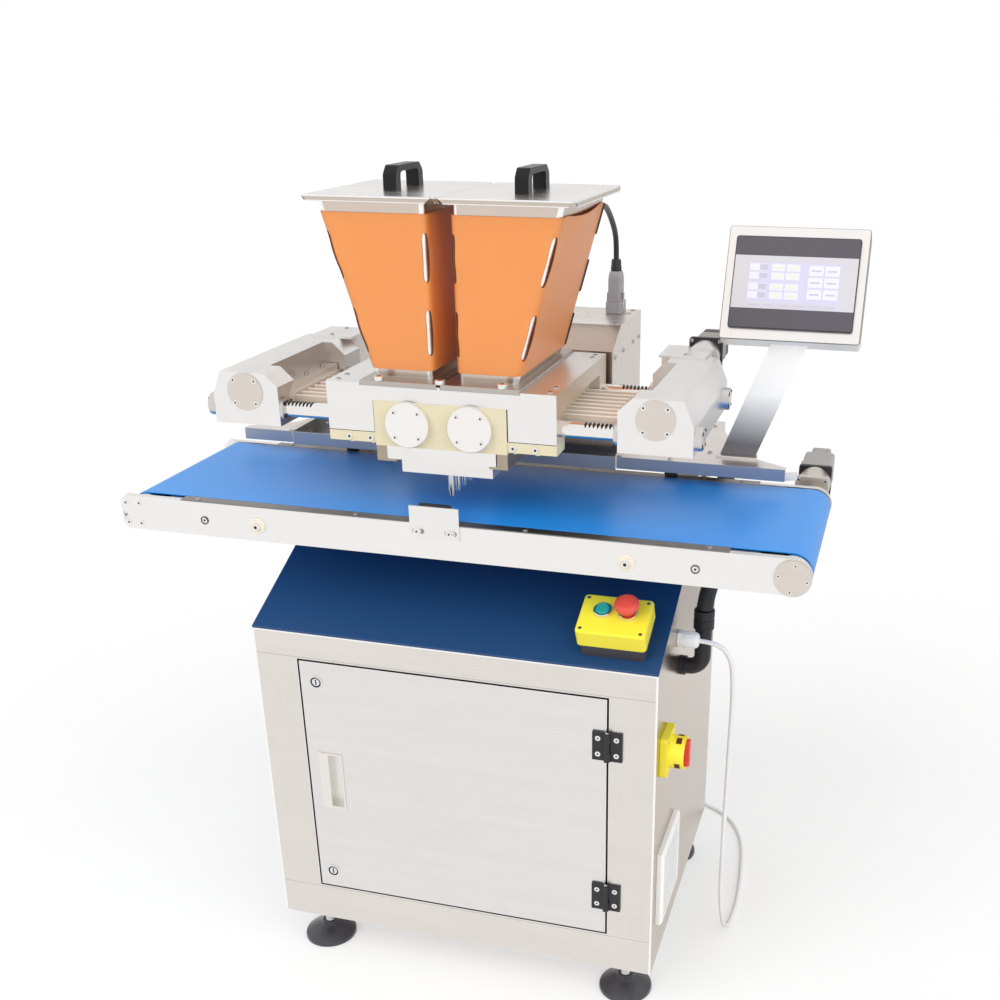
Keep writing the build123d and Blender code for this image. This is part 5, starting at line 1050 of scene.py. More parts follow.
def servo(side):
    """Servo motor: black flange with screws, laminated body, end bell and two plugs."""
    node = side + "_servo"
    low, high = span(node)
    x, z = (low.x + high.x) / 2, (low.z + high.z) / 2
    place = looking_back(x, z)
    flange, ring, bell, screw_off = 8, 14, 78, 23.5
    bm = bmesh.new()
    soft_box(bm, 57, 57, 5, low.y, low.y + flange, 1.0, place, 0)
    for k in range(5):
        y = low.y + flange + ring * k
        soft_box(bm, 46, 46, 6, y, y + 12.8, 0.8, place, 1)
        soft_box(bm, 44, 44, 5, y + 12.2, y + 14.5, 0.4, place, 0)
    soft_box(bm, 45, 45, 7, low.y + bell, high.y, 2.5, place, 0)
    for y, width in ((low.y + 50, 16), (low.y + 88, 13)):
        soft_box(bm, width, 14, 2, z + 18, z + 22.8, 1.0, moved(x, y), 0)
    for sx, sz in CORNERS:
        socket_screw(bm, (x + sx * screw_off, low.y, z + sz * screw_off), FRONT, 3.0, 2.6, head=2, hole=3)
    skin(node, bm, [black_metal, motor_grey, bright, dark])


for side_name, side_sign in SIDES:
    carriage(side_name, side_sign)

# Hoppers, jackets and lids
HOP_X0, HOP_X1_LOW, HOP_X1_TOP = 21.0, 114.0, 190.0
HOP_Y0, HOP_Y1, HOP_Z0, HOP_Z1 = 51.0, 287.0, 1100.0, 1360.0
HOP_CORNER = 9.0
JACKET_T, JACKET_Z0, JACKET_Z1 = 3.0, 1112.0, 1338.0
JACKET_SLOTS = ((1242.0, 1312.0), (1135.0, 1202.0))
SLOT_HALF, SLOT_REACH, SLOT_LIFT = 5.4, 26.0, 2.0
FRONT_OUTER, REAR_OUTER = 1, 2
FLANK_STEPS, SIDE_STEPS = 5, 9
SAG_OUT, SAG_DOWN = 2.2, 6.0


def hopper_corner(z, grow, corner, s):
    """Point s millimetres round the hopper's outline from the middle of one corner."""
    x1 = HOP_X1_LOW + (HOP_X1_TOP - HOP_X1_LOW) * (z - HOP_Z0) / (HOP_Z1 - HOP_Z0)
    r = HOP_CORNER + grow
    cx = (HOP_X0 + HOP_CORNER, x1 - HOP_CORNER, x1 - HOP_CORNER, HOP_X0 + HOP_CORNER)[corner]
    cy = (HOP_Y0 + HOP_CORNER, HOP_Y0 + HOP_CORNER, HOP_Y1 - HOP_CORNER, HOP_Y1 - HOP_CORNER)[corner]
    half = r * math.pi / 4
    bend = max(-half, min(half, s))
    a = math.radians(225 + 90 * corner) + bend / r
    beyond = s - bend
    x = cx + r * math.cos(a) - beyond * math.sin(a)
    return Vector((x, cy + r * math.sin(a) + beyond * math.cos(a), z))


def slot_opening(z, slots):
    """Half width of the spindle-shaped slot and the lift of its edges at this height."""
    for low, high in slots:
        if low < z < high:
            share = (z - low) / (high - low)
            return SLOT_HALF * math.sqrt(1 - (2 * share - 1) ** 6), SLOT_LIFT * math.sin(math.pi * share) ** 2
    return 0.0, 0.0


def jacket_heights():
    """Even levels, with closer ones towards both ends of the slots."""
    even, close, clear = 36, 16, 2.5
    heights = {JACKET_Z0 + (JACKET_Z1 - JACKET_Z0) * k / even for k in range(even + 1)}
    for low, high in JACKET_SLOTS:
        heights = {z for z in heights if not low - clear < z < high + clear}
        heights |= {low + (high - low) * (1 - math.cos(math.pi * k / close)) / 2 for k in range(close + 1)}
    return sorted(heights)


def jacket_row(z, sag):
    """One level of the jacket: at each corner two flanks, then the side to the next corner."""
    row = []
    for corner in range(4):
        half, lift = slot_opening(z, JACKET_SLOTS if corner != REAR_OUTER else ())
        flank = []
        for k in range(FLANK_STEPS + 1):
            share = k / FLANK_STEPS
            flank.append((half + (SLOT_REACH - half) * k / FLANK_STEPS, JACKET_T + lift * (1 - share) ** 2))
        left = [hopper_corner(z, grow, corner, -s) for s, grow in reversed(flank)]
        right = [hopper_corner(z, grow, corner, s) for s, grow in flank]
        far = hopper_corner(z, JACKET_T, (corner + 1) % 4, -SLOT_REACH)
        side = [right[-1].lerp(far, k / SIDE_STEPS) for k in range(1, SIDE_STEPS)]
        if sag and corner == FRONT_OUTER:
            drop = ((z - JACKET_Z0) / (JACKET_Z1 - JACKET_Z0)) ** 3
            for k, point in enumerate(side):
                swell = math.sin(math.pi * (k + 1) / SIDE_STEPS)
                point.x += SAG_OUT * swell * drop
                point.z -= SAG_DOWN * swell * drop
        row.append((left, right, side))
    return row


def jacket_rows(sheet, sag):
    rows = []
    for z in jacket_heights():
        row = []
        for left, right, side in jacket_row(z, sag):
            row.append([sheet.verts.new(p) for p in left])
            row.append([sheet.verts.new(p) for p in right + side])
        rows.append(row)
    return rows


def jacket(bm, sign, sag):
    """Silicone heater sheet wrapped round a hopper, with spindle-shaped slots along the corners."""
    sheet = bmesh.new()
    rows = jacket_rows(sheet, sag)
    for lower, upper in zip(rows, rows[1:]):
        for part in range(8):
            low_run, high_run = list(lower[part]), list(upper[part])
            if part % 2:
                low_run.append(lower[(part + 1) % 8][0])
                high_run.append(upper[(part + 1) % 8][0])
            for k in range(len(low_run) - 1):
                sheet.faces.new((low_run[k], low_run[k + 1], high_run[k + 1], high_run[k]))
    bmesh.ops.remove_doubles(sheet, verts=sheet.verts, dist=0.02)
    bmesh.ops.recalc_face_normals(sheet, faces=sheet.faces)
    outside = set(sheet.verts)
    bmesh.ops.solidify(sheet, geom=sheet.faces[:], thickness=JACKET_T - 0.5)
    # Cut edges along the slots take the dark orange as painted shade
    for face in sheet.faces:
        z = face.calc_center_median().z
        cut = 0 < len(outside.intersection(face.verts)) < len(face.verts)
        face.material_index = int(cut and any(low < z < high for low, high in JACKET_SLOTS))
    round_edges(sheet, 0.7, 60.0)
    if sign < 0:
        bmesh.ops.transform(sheet, matrix=Matrix.Scale(-1, 4, (1, 0, 0)), verts=sheet.verts)
    spare = bpy.data.meshes.new("spare")
    sheet.to_mesh(spare)
    sheet.free()
    bm.from_mesh(spare)
    bpy.data.meshes.remove(spare)


def jacket_tabs(bm, sign):
    """Black closing tabs round the rear outer corner."""
    for z0, z1 in ((1114.0, 1166.0), (1201.0, 1251.0), (1290.0, 1337.0)):
        rings = []
        for z in (z0, z0 + 1.5, z1 - 1.5, z1):
            thick = 2.6 if z0 < z < z1 else 1.4
            steps = [-9 + 34 * k / 12 for k in range(13)]
            outer = [hopper_corner(z, JACKET_T + thick, REAR_OUTER, s) for s in steps]
            inner = [hopper_corner(z, JACKET_T - 0.4, REAR_OUTER, s) for s in reversed(steps)]
            rings.append([Vector((sign * p.x, p.y, p.z)) for p in outer + inner])
        loft(bm, rings, 0)


CABLE_X, CABLE_Y, CABLE_Z = 166.0, 311.0, 1326.0


def hopper_paint(face, at):
    """Flange, rounded corners with a painted highlight, and sheet."""
    if at.z < HOP_Z0 + 0.5:
        return 1
    return 2 if abs(face.normal.x) > 0.15 and abs(face.normal.y) > 0.15 else 0


def hoppers():
    dress("hoppers", [hopper_steel, flange_steel, edge_highlight_steel], 0.7, paint=hopper_paint)
    bm = bmesh.new()
    jacket(bm, 1, True)
    jacket(bm, -1, False)
    skin("hopper_jackets", bm, [orange, orange_edge_shade])
    bm = bmesh.new()
    for sign in (-1, 1):
        jacket_tabs(bm, sign)
    piece("jacket_closing_tabs", bm, [black], "machine")
    bm = bmesh.new()
    boss = [(9.5, 0), (9.5, 4), (8, 5), (8, 20), (6.8, 23.5), (4.9, 24)]
    lathe(bm, boss, (CABLE_X, HOP_Y1, CABLE_Z), BACK, 0, 32)
    piece("jacket_cable_boss", bm, [black], "machine")


LID_LIP, LID_GAP, LID_BEND, LID_SHEET = 8.5, 10.0, 2.2, 1.3
HANDLE_Y0, HANDLE_Y1, HANDLE_LEG = 124.0, 229.0, 17.5
HANDLE_BEVEL, HANDLE_HALF, HANDLE_IN = 14.0, 10.5, 2.5


def lid(side, sign):
    """Folded steel lid: a flat top with four flaps left open at the corners, and its bow handle."""
    node = side + "_lid"
    low, high = span(node)
    top = HOP_Z1 + 2.0
    bm = bmesh.new()
    corners = oblong(low.x, high.x, low.y, high.y)
    flat = []
    for (x, y), (i, j) in zip(corners, oblong(1, -1, 1, -1)):
        flat.append(bm.verts.new((x + LID_BEND * i, y + LID_BEND * j, top)))
    bm.faces.new(flat)
    # Each step of a flap: shift outward, drop, cut at the corners, finish; the flaps take a darker steel as
    # painted shade, and their lower edge the painted highlight
    steps = [(-0.35 * LID_BEND, -0.25 * LID_BEND, LID_BEND + 0.6, 0), (0.0, -LID_BEND, LID_BEND + 1.6, 0),
             (0.4, -LID_LIP + 1.2, LID_GAP, 1), (0.9, -LID_LIP, LID_GAP + 0.6, 2)]
    for k in range(4):
        after = (k + 1) % 4
        start, end = Vector(corners[k]), Vector(corners[after])
        run = (end - start).normalized()
        out = Vector((run.y, -run.x))
        last = (flat[k], flat[after])
        for shift, drop, cut, mat in steps:
            ends = (start + out * shift + run * cut, end + out * shift - run * cut)
            level = [bm.verts.new((spot.x, spot.y, top + drop)) for spot in ends]
            bm.faces.new((last[0], last[1], level[1], level[0])).material_index = mat
            last = level
    bmesh.ops.recalc_face_normals(bm, faces=bm.faces)
    bmesh.ops.solidify(bm, geom=bm.faces[:], thickness=LID_SHEET)
    skin(node, bm, [lid_steel, flap_shade_steel, edge_highlight_steel], smooth=28)
    handle(side, (low.x + high.x) / 2 - sign * HANDLE_IN, top, high.z)


def handle(side, x, foot, top):
    """Bow handle with flared feet and rounded edges."""
    y0, y1, leg, slant = HANDLE_Y0, HANDLE_Y1, HANDLE_LEG, HANDLE_BEVEL
    half_bow = [(y0 - 1, foot), (y0 - 0.5, foot + 5), (y0, top - slant), (y0 + 2.5, top - 0.7 * slant),
                (y0 + slant - 3, top - 1.2), (y0 + slant, top)]
    half_eye = [(y0 + leg + 7, top - 9.0), (y0 + leg + 2, top - 11.0), (y0 + leg, top - 15.5),
                (y0 + leg, foot)]
    mirrored = [(y0 + y1 - y, z) for half in (half_bow, half_eye) for y, z in reversed(half)]
    bm = bmesh.new()
    prism(bm, half_bow + mirrored + half_eye, "x", x - HANDLE_HALF, x + HANDLE_HALF)
    round_edges(bm, 2.0, 40.0, 3)
    piece(side + "_lid_handle", bm, [handle_black], side + "_lid", smooth=50)


hoppers()
for side_name, side_sign in SIDES:
    lid(side_name, side_sign)

# Valve drive box and the heater connector
DRIVE_BOX_FEET, DRIVE_BOX_FRONT_Y = 4.5, 400
SIDE_SCREW_YS, SIDE_SCREW_Z = (348, 408, 484, 530), 1083
LID_SCREW_X, LID_SCREW_YS = 178, (400, 500, 533)
BACK_SCREW_XS, BACK_SCREW_ZS = (-175, 0, 175), (945, 1114)
CONN_X, CONN_Y, CONN_Z = 151.0, 511.0, 1128.0


def drive_box_paint(face, at):
    """Pale sides, black feet, and a front in darker tan as painted shade."""
    if at.z < span("valve_drive_box")[0].z + DRIVE_BOX_FEET and abs(face.normal.z) < SQUARE_ON:
        return 1
    return 2 if face.normal.y < -0.3 and at.y < DRIVE_BOX_FRONT_Y else 0


def drive_box():
    dress("valve_drive_box", [box_steel, foot_black, box_front_shade], 0.7, paint=drive_box_paint)
    high = span("valve_drive_box")[1]
    for side, sign in SIDES:
        spots = [(sign * high.x, y, SIDE_SCREW_Z) for y in SIDE_SCREW_YS]
        screw_set(side + "_drive_box_screws", spots, (sign, 0, 0), 4.4, 1.8)
    tops = both_sides((LID_SCREW_X, y, high.z - SINK) for y in LID_SCREW_YS)
    screw_set("drive_box_top_screws", tops, UP, 4.4, 1.6)
    backs = [(x, high.y - SINK, z) for x in BACK_SCREW_XS for z in BACK_SCREW_ZS]
    screw_set("drive_box_back_screws", backs, BACK, 4.4, 1.6)


def connector():
    """Industrial plug: base with latch, grey hood, black gland nut."""
    x, y, z = CONN_X, CONN_Y, CONN_Z
    bm = bmesh.new()
    place = moved(x, y, z)
    soft_box(bm, 28, 44, 4, 0, 20, 1.5, place, 0)
    soft_box(bm, 24, 37, 3, 20, 25, 0.8, place, 0)
    hood = [(22, 34, 24), (22, 34, 58), (20.5, 30, 67), (18, 24, 72)]
    placed_loft(bm, place, [rounded(width, depth, 3.5, level) for width, depth, level in hood], 0)
    gland = [(9, 71), (9.6, 73), (9.6, 80), (8.8, 81), (8.8, 88), (7.6, 92), (5, 92)]
    lathe(bm, gland, (x, y, z), UP, 1, 24)
    pivot = [(0, 0), (4, 0), (4, 1.6), (3, 2.2), (0, 2.2)]
    lever = [(y - 10, z + 9), (y - 2, z + 9), (y + 4, z + 34), (y - 4, z + 34)]
    for s in (-1, 1):
        lathe(bm, pivot, (x + s * 14, y - 6, z + 12), (s, 0, 0), 2, 20)
        prism(bm, lever, "x", x + s * 11.5, x + s * 15.2, 2)
    skin("hopper_connector", bm, [connector_grey, black, bright])


drive_box()
connector()

# Touch panel on its arm
PANEL_X, PANEL_Y, PANEL_Z = 479.0, 373.0, 1212.0
PANEL_TILT = math.radians(24.7)
PANEL_W, PANEL_H = 200.0, 150.0
PANEL_FACE, FILM = 2.9, 0.15
HOUSING_FOOT_Z = 1122.0
ARM_FOOT_TOP = 936.0
# Films, by their place in the panel's list of finishes
BEZEL, BAND, GROUND, CELL, VALUE, MARK = 1, 2, 3, 4, 5, 6
tilt_cos, tilt_sin = math.cos(PANEL_TILT), math.sin(PANEL_TILT)
ON_PANEL = Matrix(((1, 0, 0, PANEL_X),
                   (0, tilt_sin, -tilt_cos, PANEL_Y),
                   (0, tilt_cos, tilt_sin, PANEL_Z),
                   (0, 0, 0, 1)))


def housing_paint(face, at):
    """Arm below, pale front of the housing, and sides greyer as painted shade."""
    if at.z < ARM_FOOT_TOP:
        return 3
    if at.z < HOUSING_FOOT_Z:
        return 2
    out = Vector((0, -tilt_cos, tilt_sin))
    return 0 if abs(face.normal.dot(out)) > SQUARE_ON else 1


def film(bm, x0, x1, y0, y1, layer, mat):
    """Thin printed field on the face of the panel; each layer lies on the one below."""
    front = PANEL_FACE + layer * FILM
    loft(bm, [[(x, y, z) for x, y in oblong(x0, x1, y0, y1)] for z in (front - FILM - 0.1, front)], mat)


def touch_panel():
    dress("hmi_housing", [housing_steel, housing_side_shade, arm_painted_shade, deck_steel], 0.8, paint=housing_paint)
    bm = bmesh.new()
    levels = [(0, -3), (0, 1.4), (0.5, 2.5), (1.2, PANEL_FACE)]
    loft(bm, [rounded(PANEL_W - 2 * inset, PANEL_H - 2 * inset, 4.5, z) for inset, z in levels], 0)
    half_w, band = PANEL_W / 2 - 1.8, PANEL_H / 2 - 1.8
    screen_top, screen_foot = 43.0, -42.5
    film(bm, -half_w, half_w, screen_top, band, 1, BEZEL)
    film(bm, -half_w, half_w, -band, screen_foot, 1, BEZEL)
    film(bm, -half_w, half_w, screen_foot, screen_top, 1, BAND)
    screen(bm, -75.0, 74.0, screen_foot + 1.0, screen_top - 2.0)
    mats = [bezel_dark, bezel_grey, band_grey, lilac, cell_white, cell_yellow, cell_grey]
    skin("hmi_panel", bm, mats, ON_PANEL)


def screen(bm, x0, x1, y0, y1):
    """Plain control page: a title bar, value cells on the left, keys on the right and a row of tabs."""
    film(bm, x0, x1, y0, y1, 2, GROUND)
    film(bm, x0, x1, y1 - 8, y1, 3, BAND)
    row_h, gap = 11.5, 2.2
    for row in range(4):
        top = y1 - 11 - row * (row_h + gap) - (4 if row > 1 else 0)
        film(bm, x0 + 2, x0 + 32, top - row_h, top, 3, CELL)
        film(bm, x0 + 18, x0 + 31.5, top - row_h + 1, top - 1, 4, MARK)
        for column in range(2):
            left = x0 + 37 + column * 24
            film(bm, left, left + 21.5, top - row_h, top, 3, CELL)
            film(bm, left + 5, left + 17, top - row_h + 3.5, top - 5, 4, VALUE)
    for row in range(3):
        top = y1 - 12 - row * 19
        for column in range(2):
            left = x0 + 97 + column * 25.5
            film(bm, left, left + 23, top - 16, top, 3, CELL)
            film(bm, left + 4, left + 19, top - 9.5, top - 7, 4, MARK)
    tabs = 6
    tab = (x1 - x0 - 4) / tabs
    for k in range(tabs):
        left = x0 + 2 + k * tab
        film(bm, left + 0.6, left + tab - 0.8, y0 + 1, y0 + 8.5, 3, BAND)
        film(bm, left + 4, left + tab - 4, y0 + 3.6, y0 + 5.6, 4, MARK)


touch_panel()

# Screws and bolts in view, each as large as its solid


def machine_screws():
    shape = node_shape("machine_screws")
    spans = [extent(group) for group in islands(shape)]
    shape.free()
    bm = bmesh.new()
    for low, high in spans:
        middle = (low + high) / 2
        r = (high.x - low.x) / 2
        face = (middle.x, high.y, middle.z)
        if high.z > HOP_Z0 + 1:
            socket_screw(bm, (middle.x, middle.y, low.z), UP, r, high.z - low.z, 0.45)
        elif r > 10:
            lathe(bm, [(r, 0), (r, 2.2), (r - 0.8, 3), (0, 3)], face, FRONT, 2, 40)
            socket_screw(bm, (middle.x, high.y - 3, middle.z), FRONT, 6, high.y - low.y - 3)
        elif r > 6:
            ring = [(r, 0), (r, 1.2), (r - 0.5, 1.5), (r - 1.4, 1.5), (r - 1.8, 0.7), (r - 1.8, 0)]
            ring_lathe(bm, ring, face, FRONT, 1, 36)
            socket_screw(bm, (middle.x, high.y + 0.2, middle.z), FRONT, r - 2.4, 1.3)
        else:
            socket_screw(bm, face, FRONT, r, high.y - low.y)
    skin("machine_screws", bm, [white_steel, socket_shade, ivory])
    bm = bmesh.new()
    rail_low = span("conveyor_frame")[0]
    socket_screw(bm, (rail_low.x + 6.5, 1.4, 851), FRONT, 3.2, 1.2)
    piece("belt_tension_bolt", bm, [bright, dark], "machine")


machine_screws()

# Electrical panel behind the door
EP_PLATE_Y, EP_UNIT_Z = 500.0, 580
EP_HALF_W, EP_FOOT, EP_TOP = 280, 180, 700
EP_POST_IN, EP_DRIVE_XS = 15, (-200, -130, -60)
BREAKERS, BREAKER_W, BREAKER_FACE = 24, 20, 442


def drive_unit(bm, x, front):
    """Motor drive with a cover, a terminal block and its contacts."""
    place = along_axis((x, 0, EP_UNIT_Z), FRONT)
    soft_box(bm, 60, 160, 3, -EP_PLATE_Y, -(front + 14), 1.5, place, 2)
    soft_box(bm, 52, 60, 2, -(front + 15), -(front + 4), 1.2, place @ moved(0, 40), 1)
    soft_box(bm, 52, 70, 2, -(front + 15), -front, 1.2, place @ moved(0, -36), 1)
    for k in range(6):
        soft_box(bm, 6.5, 9, 1, -(front + 1), -front, 0.3, place @ moved(-20 + 8 * k, -60), 3)


def wire_duct(bm, half, y, z0, z1, count):
    """Slotted wire duct across the plate."""
    cuboid(bm, (-half, y, z0), (half, EP_PLATE_Y, z1), 4)
    for k in range(count):
        x = 4 - half + 11.2 * k
        cuboid(bm, (x, y - 0.4, z0 + 3), (x + 5, y + 1, z1 - 3), 1)


def supply(bm, x0, x1, y):
    """Power supply with vents in its cover."""
    place = along_axis(((x0 + x1) / 2, 0, EP_UNIT_Z), FRONT)
    soft_box(bm, x1 - x0, 140, 2, -EP_PLATE_Y, -y, 1.2, place, 0)
    for k in range(9):
        cuboid(bm, (x0 + 10, y - 0.3, 525 + 9 * k), (x1 - 10, y + 1, 529 + 9 * k), 1)


def breaker(bm, k, x):
    """One of the row of breakers and terminals, with its lever and two screws."""
    casing = (4, 5, 4, 6, 4, 4)[k % 6]
    cuboid(bm, (x + 0.4, BREAKER_FACE, 320), (x + BREAKER_W - 0.4, EP_PLATE_Y, 400), casing)
    cuboid(bm, (x + 4, 430, 350), (x + 16, 443, 372), 1 if k < BREAKERS / 2 else 4)
    for z in (388, 332):
        socket_screw(bm, (x + BREAKER_W / 2, BREAKER_FACE, z), FRONT, 4, 1.2)


def electrical_panel():
    """Mounting plate with drives, supplies, breakers, terminals and slotted wire ducts."""
    low, high = span("electrical_panel")
    bm = bmesh.new()
    cuboid(bm, (-EP_HALF_W, EP_PLATE_Y, EP_FOOT), (EP_HALF_W, EP_PLATE_Y + 3, EP_TOP), 0)
    for x in (EP_POST_IN - EP_HALF_W, EP_HALF_W - EP_POST_IN):
        for z in (EP_FOOT + EP_POST_IN, EP_TOP - EP_POST_IN):
            lathe(bm, [(8, EP_PLATE_Y + 2), (8, high.y)], (x, 0, z), BACK, 0, 20)
            socket_screw(bm, (x, EP_PLATE_Y, z), FRONT, 6, 3)
    for x in EP_DRIVE_XS:
        drive_unit(bm, x, low.y)
    supply(bm, 20, 130, 400)
    supply(bm, 150, 250, 420)
    wire_duct(bm, 260, 455, 440, 470, 46)
    wire_duct(bm, 240, 450, 220, 270, 42)
    for k in range(BREAKERS):
        breaker(bm, k, BREAKER_W * (k - BREAKERS // 2))
    skin("electrical_panel", bm, [bright, dark, grey, green, pale_grey, cell_yellow, navy])


electrical_panel()

# Conduit from the cabinet wall to the deck
ELBOW_X, ELBOW_Y, ELBOW_Z = 386.0, 195.0, 597.0
UNION_LOW = 669.0
ELBOW_R, ELBOW_BEND, COLLAR_R, UNION_R, GLAND_R = 14.0, 22.0, 17.0, 17.5, 19.0
CONDUIT_R = 14.0
CONDUIT_TOP = (347.0, 480.0, 909.0)


def elbow(bm):
    """Bent pipe from the cabinet wall up into the union."""
    ring = circle(ELBOW_R, 0, 28)
    steps = 8
    rings = [[Vector((SIDE_X, ELBOW_Y + p.x, ELBOW_Z + p.y)) for p in ring]]
    for k in range(steps + 1):
        a = math.pi / 2 * k / steps
        x = ELBOW_X - ELBOW_BEND + ELBOW_BEND * math.sin(a)
        centre = Vector((x, ELBOW_Y, ELBOW_Z + ELBOW_BEND - ELBOW_BEND * math.cos(a)))
        up = Vector((-math.sin(a), 0, math.cos(a)))
        rings.append([centre + Vector((0, p.x, 0)) + up * p.y for p in ring])
    rings.append([Vector((ELBOW_X - p.y, ELBOW_Y + p.x, UNION_LOW + 2)) for p in ring])
    loft(bm, rings, 0)


def conduit():
    """Wall elbow with its lock ring, the union, and the gland under the deck."""
    bm = bmesh.new()
    elbow(bm)
    r = COLLAR_R
    collar = [(r, 0), (r, 3.2), (r - 0.9, 4), (r - 0.9, 5.2), (r, 6), (r, 8.4), (r - 1.1, 9), (13, 9)]
    lathe(bm, collar, (SIDE_X, ELBOW_Y, ELBOW_Z), RIGHT, 0, 36)
    r = UNION_R
    union = [(13.6, 0), (r - 1.9, 1.2), (r, 2.4), (r, 19), (r - 0.8, 20), (r - 0.8, 23), (r, 24), (r, 34.4),
             (r - 1.1, 36), (13.6, 36)]
    lathe(bm, union, (ELBOW_X, ELBOW_Y, UNION_LOW), UP, 0, 36)
    latch = moved(ELBOW_X, ELBOW_Y - UNION_R + 0.6)
    soft_box(bm, 7, 2.4, 1, UNION_LOW + 8, UNION_LOW + 15, 0.8, latch, 0)
    r = GLAND_R
    gland = [(13.6, 0), (r - 1.8, 0), (r, 1.6), (r, 9), (r - 1.2, 10), (r - 1.2, 12), (r, 13), (r, 16),
             (0, 16)]
    lathe(bm, gland, CONDUIT_TOP, UP, 0, 36)
    piece("cable_conduit_fittings", bm, [hose_black], "machine", ("cable_conduit",))


conduit()

# Cords


def cord_curve(name, points, radius, mat, body):
    """A round cord whose smooth line has these points as its control points."""
    curve = bpy.data.curves.new(name, "CURVE")
    curve.dimensions = "3D"
    curve.bevel_depth = radius * MM
    curve.bevel_resolution = 5
    curve.use_fill_caps = True
    spline = curve.splines.new("NURBS")
    spline.points.add(len(points) - 1)
    for spot, point in zip(spline.points, points):
        spot.co = (*(TO_FRAME @ Vector(point)), 1.0)
    spline.order_u = 3
    spline.use_endpoint_u = True
    spline.resolution_u = 8
    curve.materials.append(mat)
    made = added(name, curve)
    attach(made, body)
    return made


LEAD_R = 4.0
COIL_X, COIL_Y = 150.0, 640.0
COIL_OUT, COIL_STEP, COIL_TURNS, COIL_LIFT = 58.0, 10.6, 3, 9.6
COIL_SPACING = math.radians(30)
ON_FLOOR = LEAD_R + 0.2
LEAD_POINTS = [
    (380, 155, 665), (416, 155, 665), (438, 162, 639), (443, 172, 595), (443, 183, 530), (441, 189, 450),
    (440, 193, 370), (438, 199, 290), (438, 202, 210), (437, 208, 130), (440, 218, 68), (444, 239, 25),
    (449, 276, 4.3), (453, 333, ON_FLOOR), (451, 398, ON_FLOOR), (445, 462, ON_FLOOR), (438, 526, ON_FLOOR),
    (422, 588, ON_FLOOR), (388, 646, ON_FLOOR), (336, 680, ON_FLOOR), (278, 696, ON_FLOOR),
    (214, 698, ON_FLOOR), (158, 698, ON_FLOOR),
]


def coil_points():
    """The coil winds in on the floor, climbs in half a turn and winds out on top."""
    outer = COIL_OUT / math.cos(COIL_SPACING / 2)
    half_turns = 2 * COIL_TURNS
    steps_a_half = round(math.pi / COIL_SPACING)
    points = []
    for step in range((2 * half_turns + 1) * steps_a_half + 1):
        half = step / steps_a_half
        climb = min(max(half - half_turns, 0.0), 1.0)
        wound = min(half, half_turns) if half <= half_turns + 1 else 2 * half_turns + 1 - half
        r = outer - wound * COIL_STEP / 2
        angle = math.pi / 2 + math.pi * half
        x, y = COIL_X + r * math.cos(angle), COIL_Y + r * math.sin(angle)
        points.append((x, y, ON_FLOOR + climb * COIL_LIFT))
    return points


def mains_lead():
    plug_low, plug_high = span("mains_plug")
    into_plug = (plug_low.x, (plug_low.y + plug_high.y) / 2, ON_FLOOR + COIL_LIFT)
    route = LEAD_POINTS + coil_points() + [into_plug]
    lead = cord_curve("mains_lead_cord", route, LEAD_R, cord_white, "machine")
    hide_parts("mains_lead", "mains_coil")


HOPPER_CABLE_R = 4.8
HOPPER_CABLE = [
    (CONN_X, CONN_Y, CONN_Z + 72),
    (CONN_X, CONN_Y, CONN_Z + 109),
    (CONN_X + 2, CONN_Y - 16, CONN_Z + 138),
    (CONN_X + 4, CONN_Y - 52, CONN_Z + 164),
    (CONN_X + 8, CONN_Y - 97, CONN_Z + 185),
    (CABLE_X, CONN_Y - 149, CABLE_Z),
    (CABLE_X, CABLE_Y, CABLE_Z),
]
HOSE = [
    (386, 195, 705), (388, 199, 731), (398, 218, 764), (412, 262, 788), (420, 315, 797),
    (418, 368, 803), (404, 416, 816), (380, 452, 840), (357, 473, 874), (347, 480, 909),
]


def object_cords():
    cable = cord_curve("hopper_heater_cable", HOPPER_CABLE, HOPPER_CABLE_R, black, "machine")
    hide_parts("hopper_cable")
    hose = cord_curve("conduit_hose", HOSE, CONDUIT_R, hose_black, "machine")


mains_lead()
object_cords()

# Stage: white floor, a grey card that shows only in the metal, soft light and the camera


def seen_share(nodes, low, high):
    """Low for light on its way to a surface, high where the camera, a reflection or a clear body looks."""
    seen = nodes.add("ShaderNodeLightPath", "Is Camera Ray", {})
    rays = seen.node.outputs
    for other in ("Is Glossy Ray", "Is Transmission Ray"):
        seen = nodes.math("MAXIMUM", seen, rays[other])
    return nodes.remap(seen, 0.0, 1.0, low, high)


def stage_sheet(name, corners, shader):
    mesh = bpy.data.meshes.new(name)
    mesh.from_pydata(corners, [], [(0, 1, 2, 3)])
    mesh.materials.append(shader.material)
    made = added(name, mesh)
    return made


def matt(name, level):
    """Plain matt paint with a faint clouding."""
    color = (level, level, level, 1.0)
    shader = Shader(name)
    speck = shader.noise(shader.place(), scale=3.0, detail=3.0)
    clouded = shader.blend(speck, scaled(color, 0.98), color)
    shader.surface(Base_Color=clouded, Roughness=0.9, Specular_IOR_Level=0.0)
    return shader


def white_floor(half, level, glow):
    """Pale floor that keeps shadows and looks white in the open."""
    shader = matt("pale_floor", level)
    shader.surface(Emission_Color=(1, 1, 1, 1), Emission_Strength=seen_share(shader, 0.0, glow))
    stage_sheet("floor", [(x, y, 0) for x, y in oblong(-half, half, -half, half)], shader)


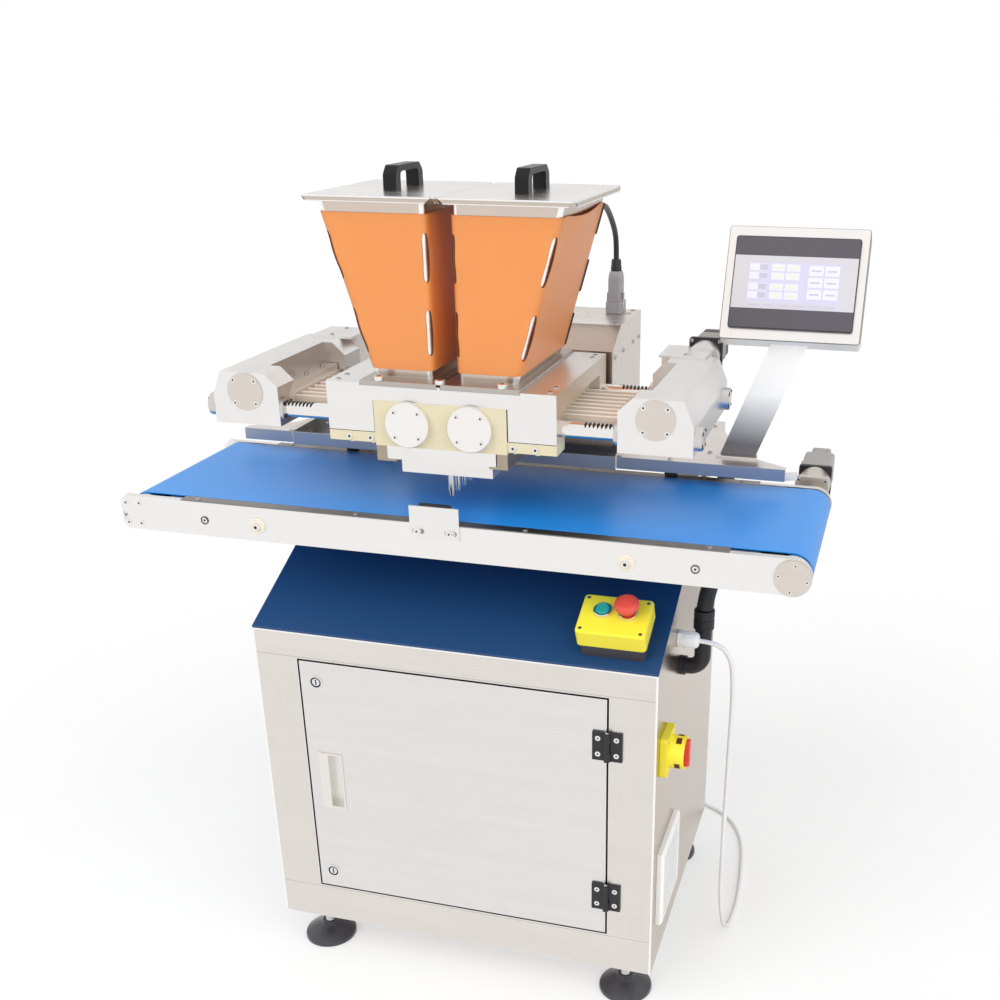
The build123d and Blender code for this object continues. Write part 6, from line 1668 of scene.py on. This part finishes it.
def grey_card(half, back, top, level):
    """Upright card behind the machine, for the metal to reflect."""
    corners = [(x, back, z) for x, z in oblong(-half, half, 0.01, top)]
    card = stage_sheet("grey_card", corners, matt("card_grey", level))
    card.visible_camera = False
    card.visible_diffuse = False
    card.visible_transmission = False
    card.visible_shadow = False


def white_world(lit):
    """White where the camera and reflections look, and a plain soft light elsewhere."""
    world = bpy.data.worlds.new("studio")
    world.use_nodes = True
    nodes = Nodes(world.node_tree)
    strength = seen_share(nodes, lit, 1.0)
    nodes.feed(nodes.tree.nodes["Background"], {"Color": (1, 1, 1, 1), "Strength": strength})
    bpy.context.scene.world = world


def aim(made, direction):
    """Turns a lamp or the camera to look in this direction."""
    made.rotation_mode = "QUATERNION"
    made.rotation_quaternion = Vector(direction).to_track_quat("-Z", "Y")


def soft_light(name, direction, power, spread):
    """Even light from a wide patch of sky; the direction is the way it travels."""
    data = bpy.data.lights.new(name, "SUN")
    data.energy = power
    data.angle = math.radians(spread)
    made = added(name, data)
    aim(made, direction)
    made.location = (0, 0, 3)
    made.visible_glossy = False


white_floor(half=30.0, level=0.62, glow=0.38)
grey_card(half=5.0, back=1.25, top=1.75, level=0.72)
white_world(lit=0.58)
soft_light("key_light", direction=(0.55, 0.9, -0.85), power=1.2, spread=50)
soft_light("fill_light", direction=(-0.8, 0.7, -0.6), power=1.45, spread=70)

CAMERA_AT = (674.68, -1642.61, 1529.97)
CAMERA_LOOK = (-0.23827, 0.87886, -0.41332)
FOCAL_PIXELS = 1212.37
CENTRE_PIXELS = (583.55, 617.03)
IMAGE_PIXELS = 1000.0
lens = bpy.data.cameras.new("camera")
lens.sensor_width = 36.0
lens.lens = FOCAL_PIXELS / IMAGE_PIXELS * lens.sensor_width
lens.shift_x = 0.5 - CENTRE_PIXELS[0] / IMAGE_PIXELS
lens.shift_y = CENTRE_PIXELS[1] / IMAGE_PIXELS - 0.5
camera = added("camera", lens)
camera.location = TO_FRAME @ Vector(CAMERA_AT)
aim(camera, CAMERA_LOOK)
bpy.context.scene.camera = camera
bpy.context.scene.view_settings.view_transform = "Standard"
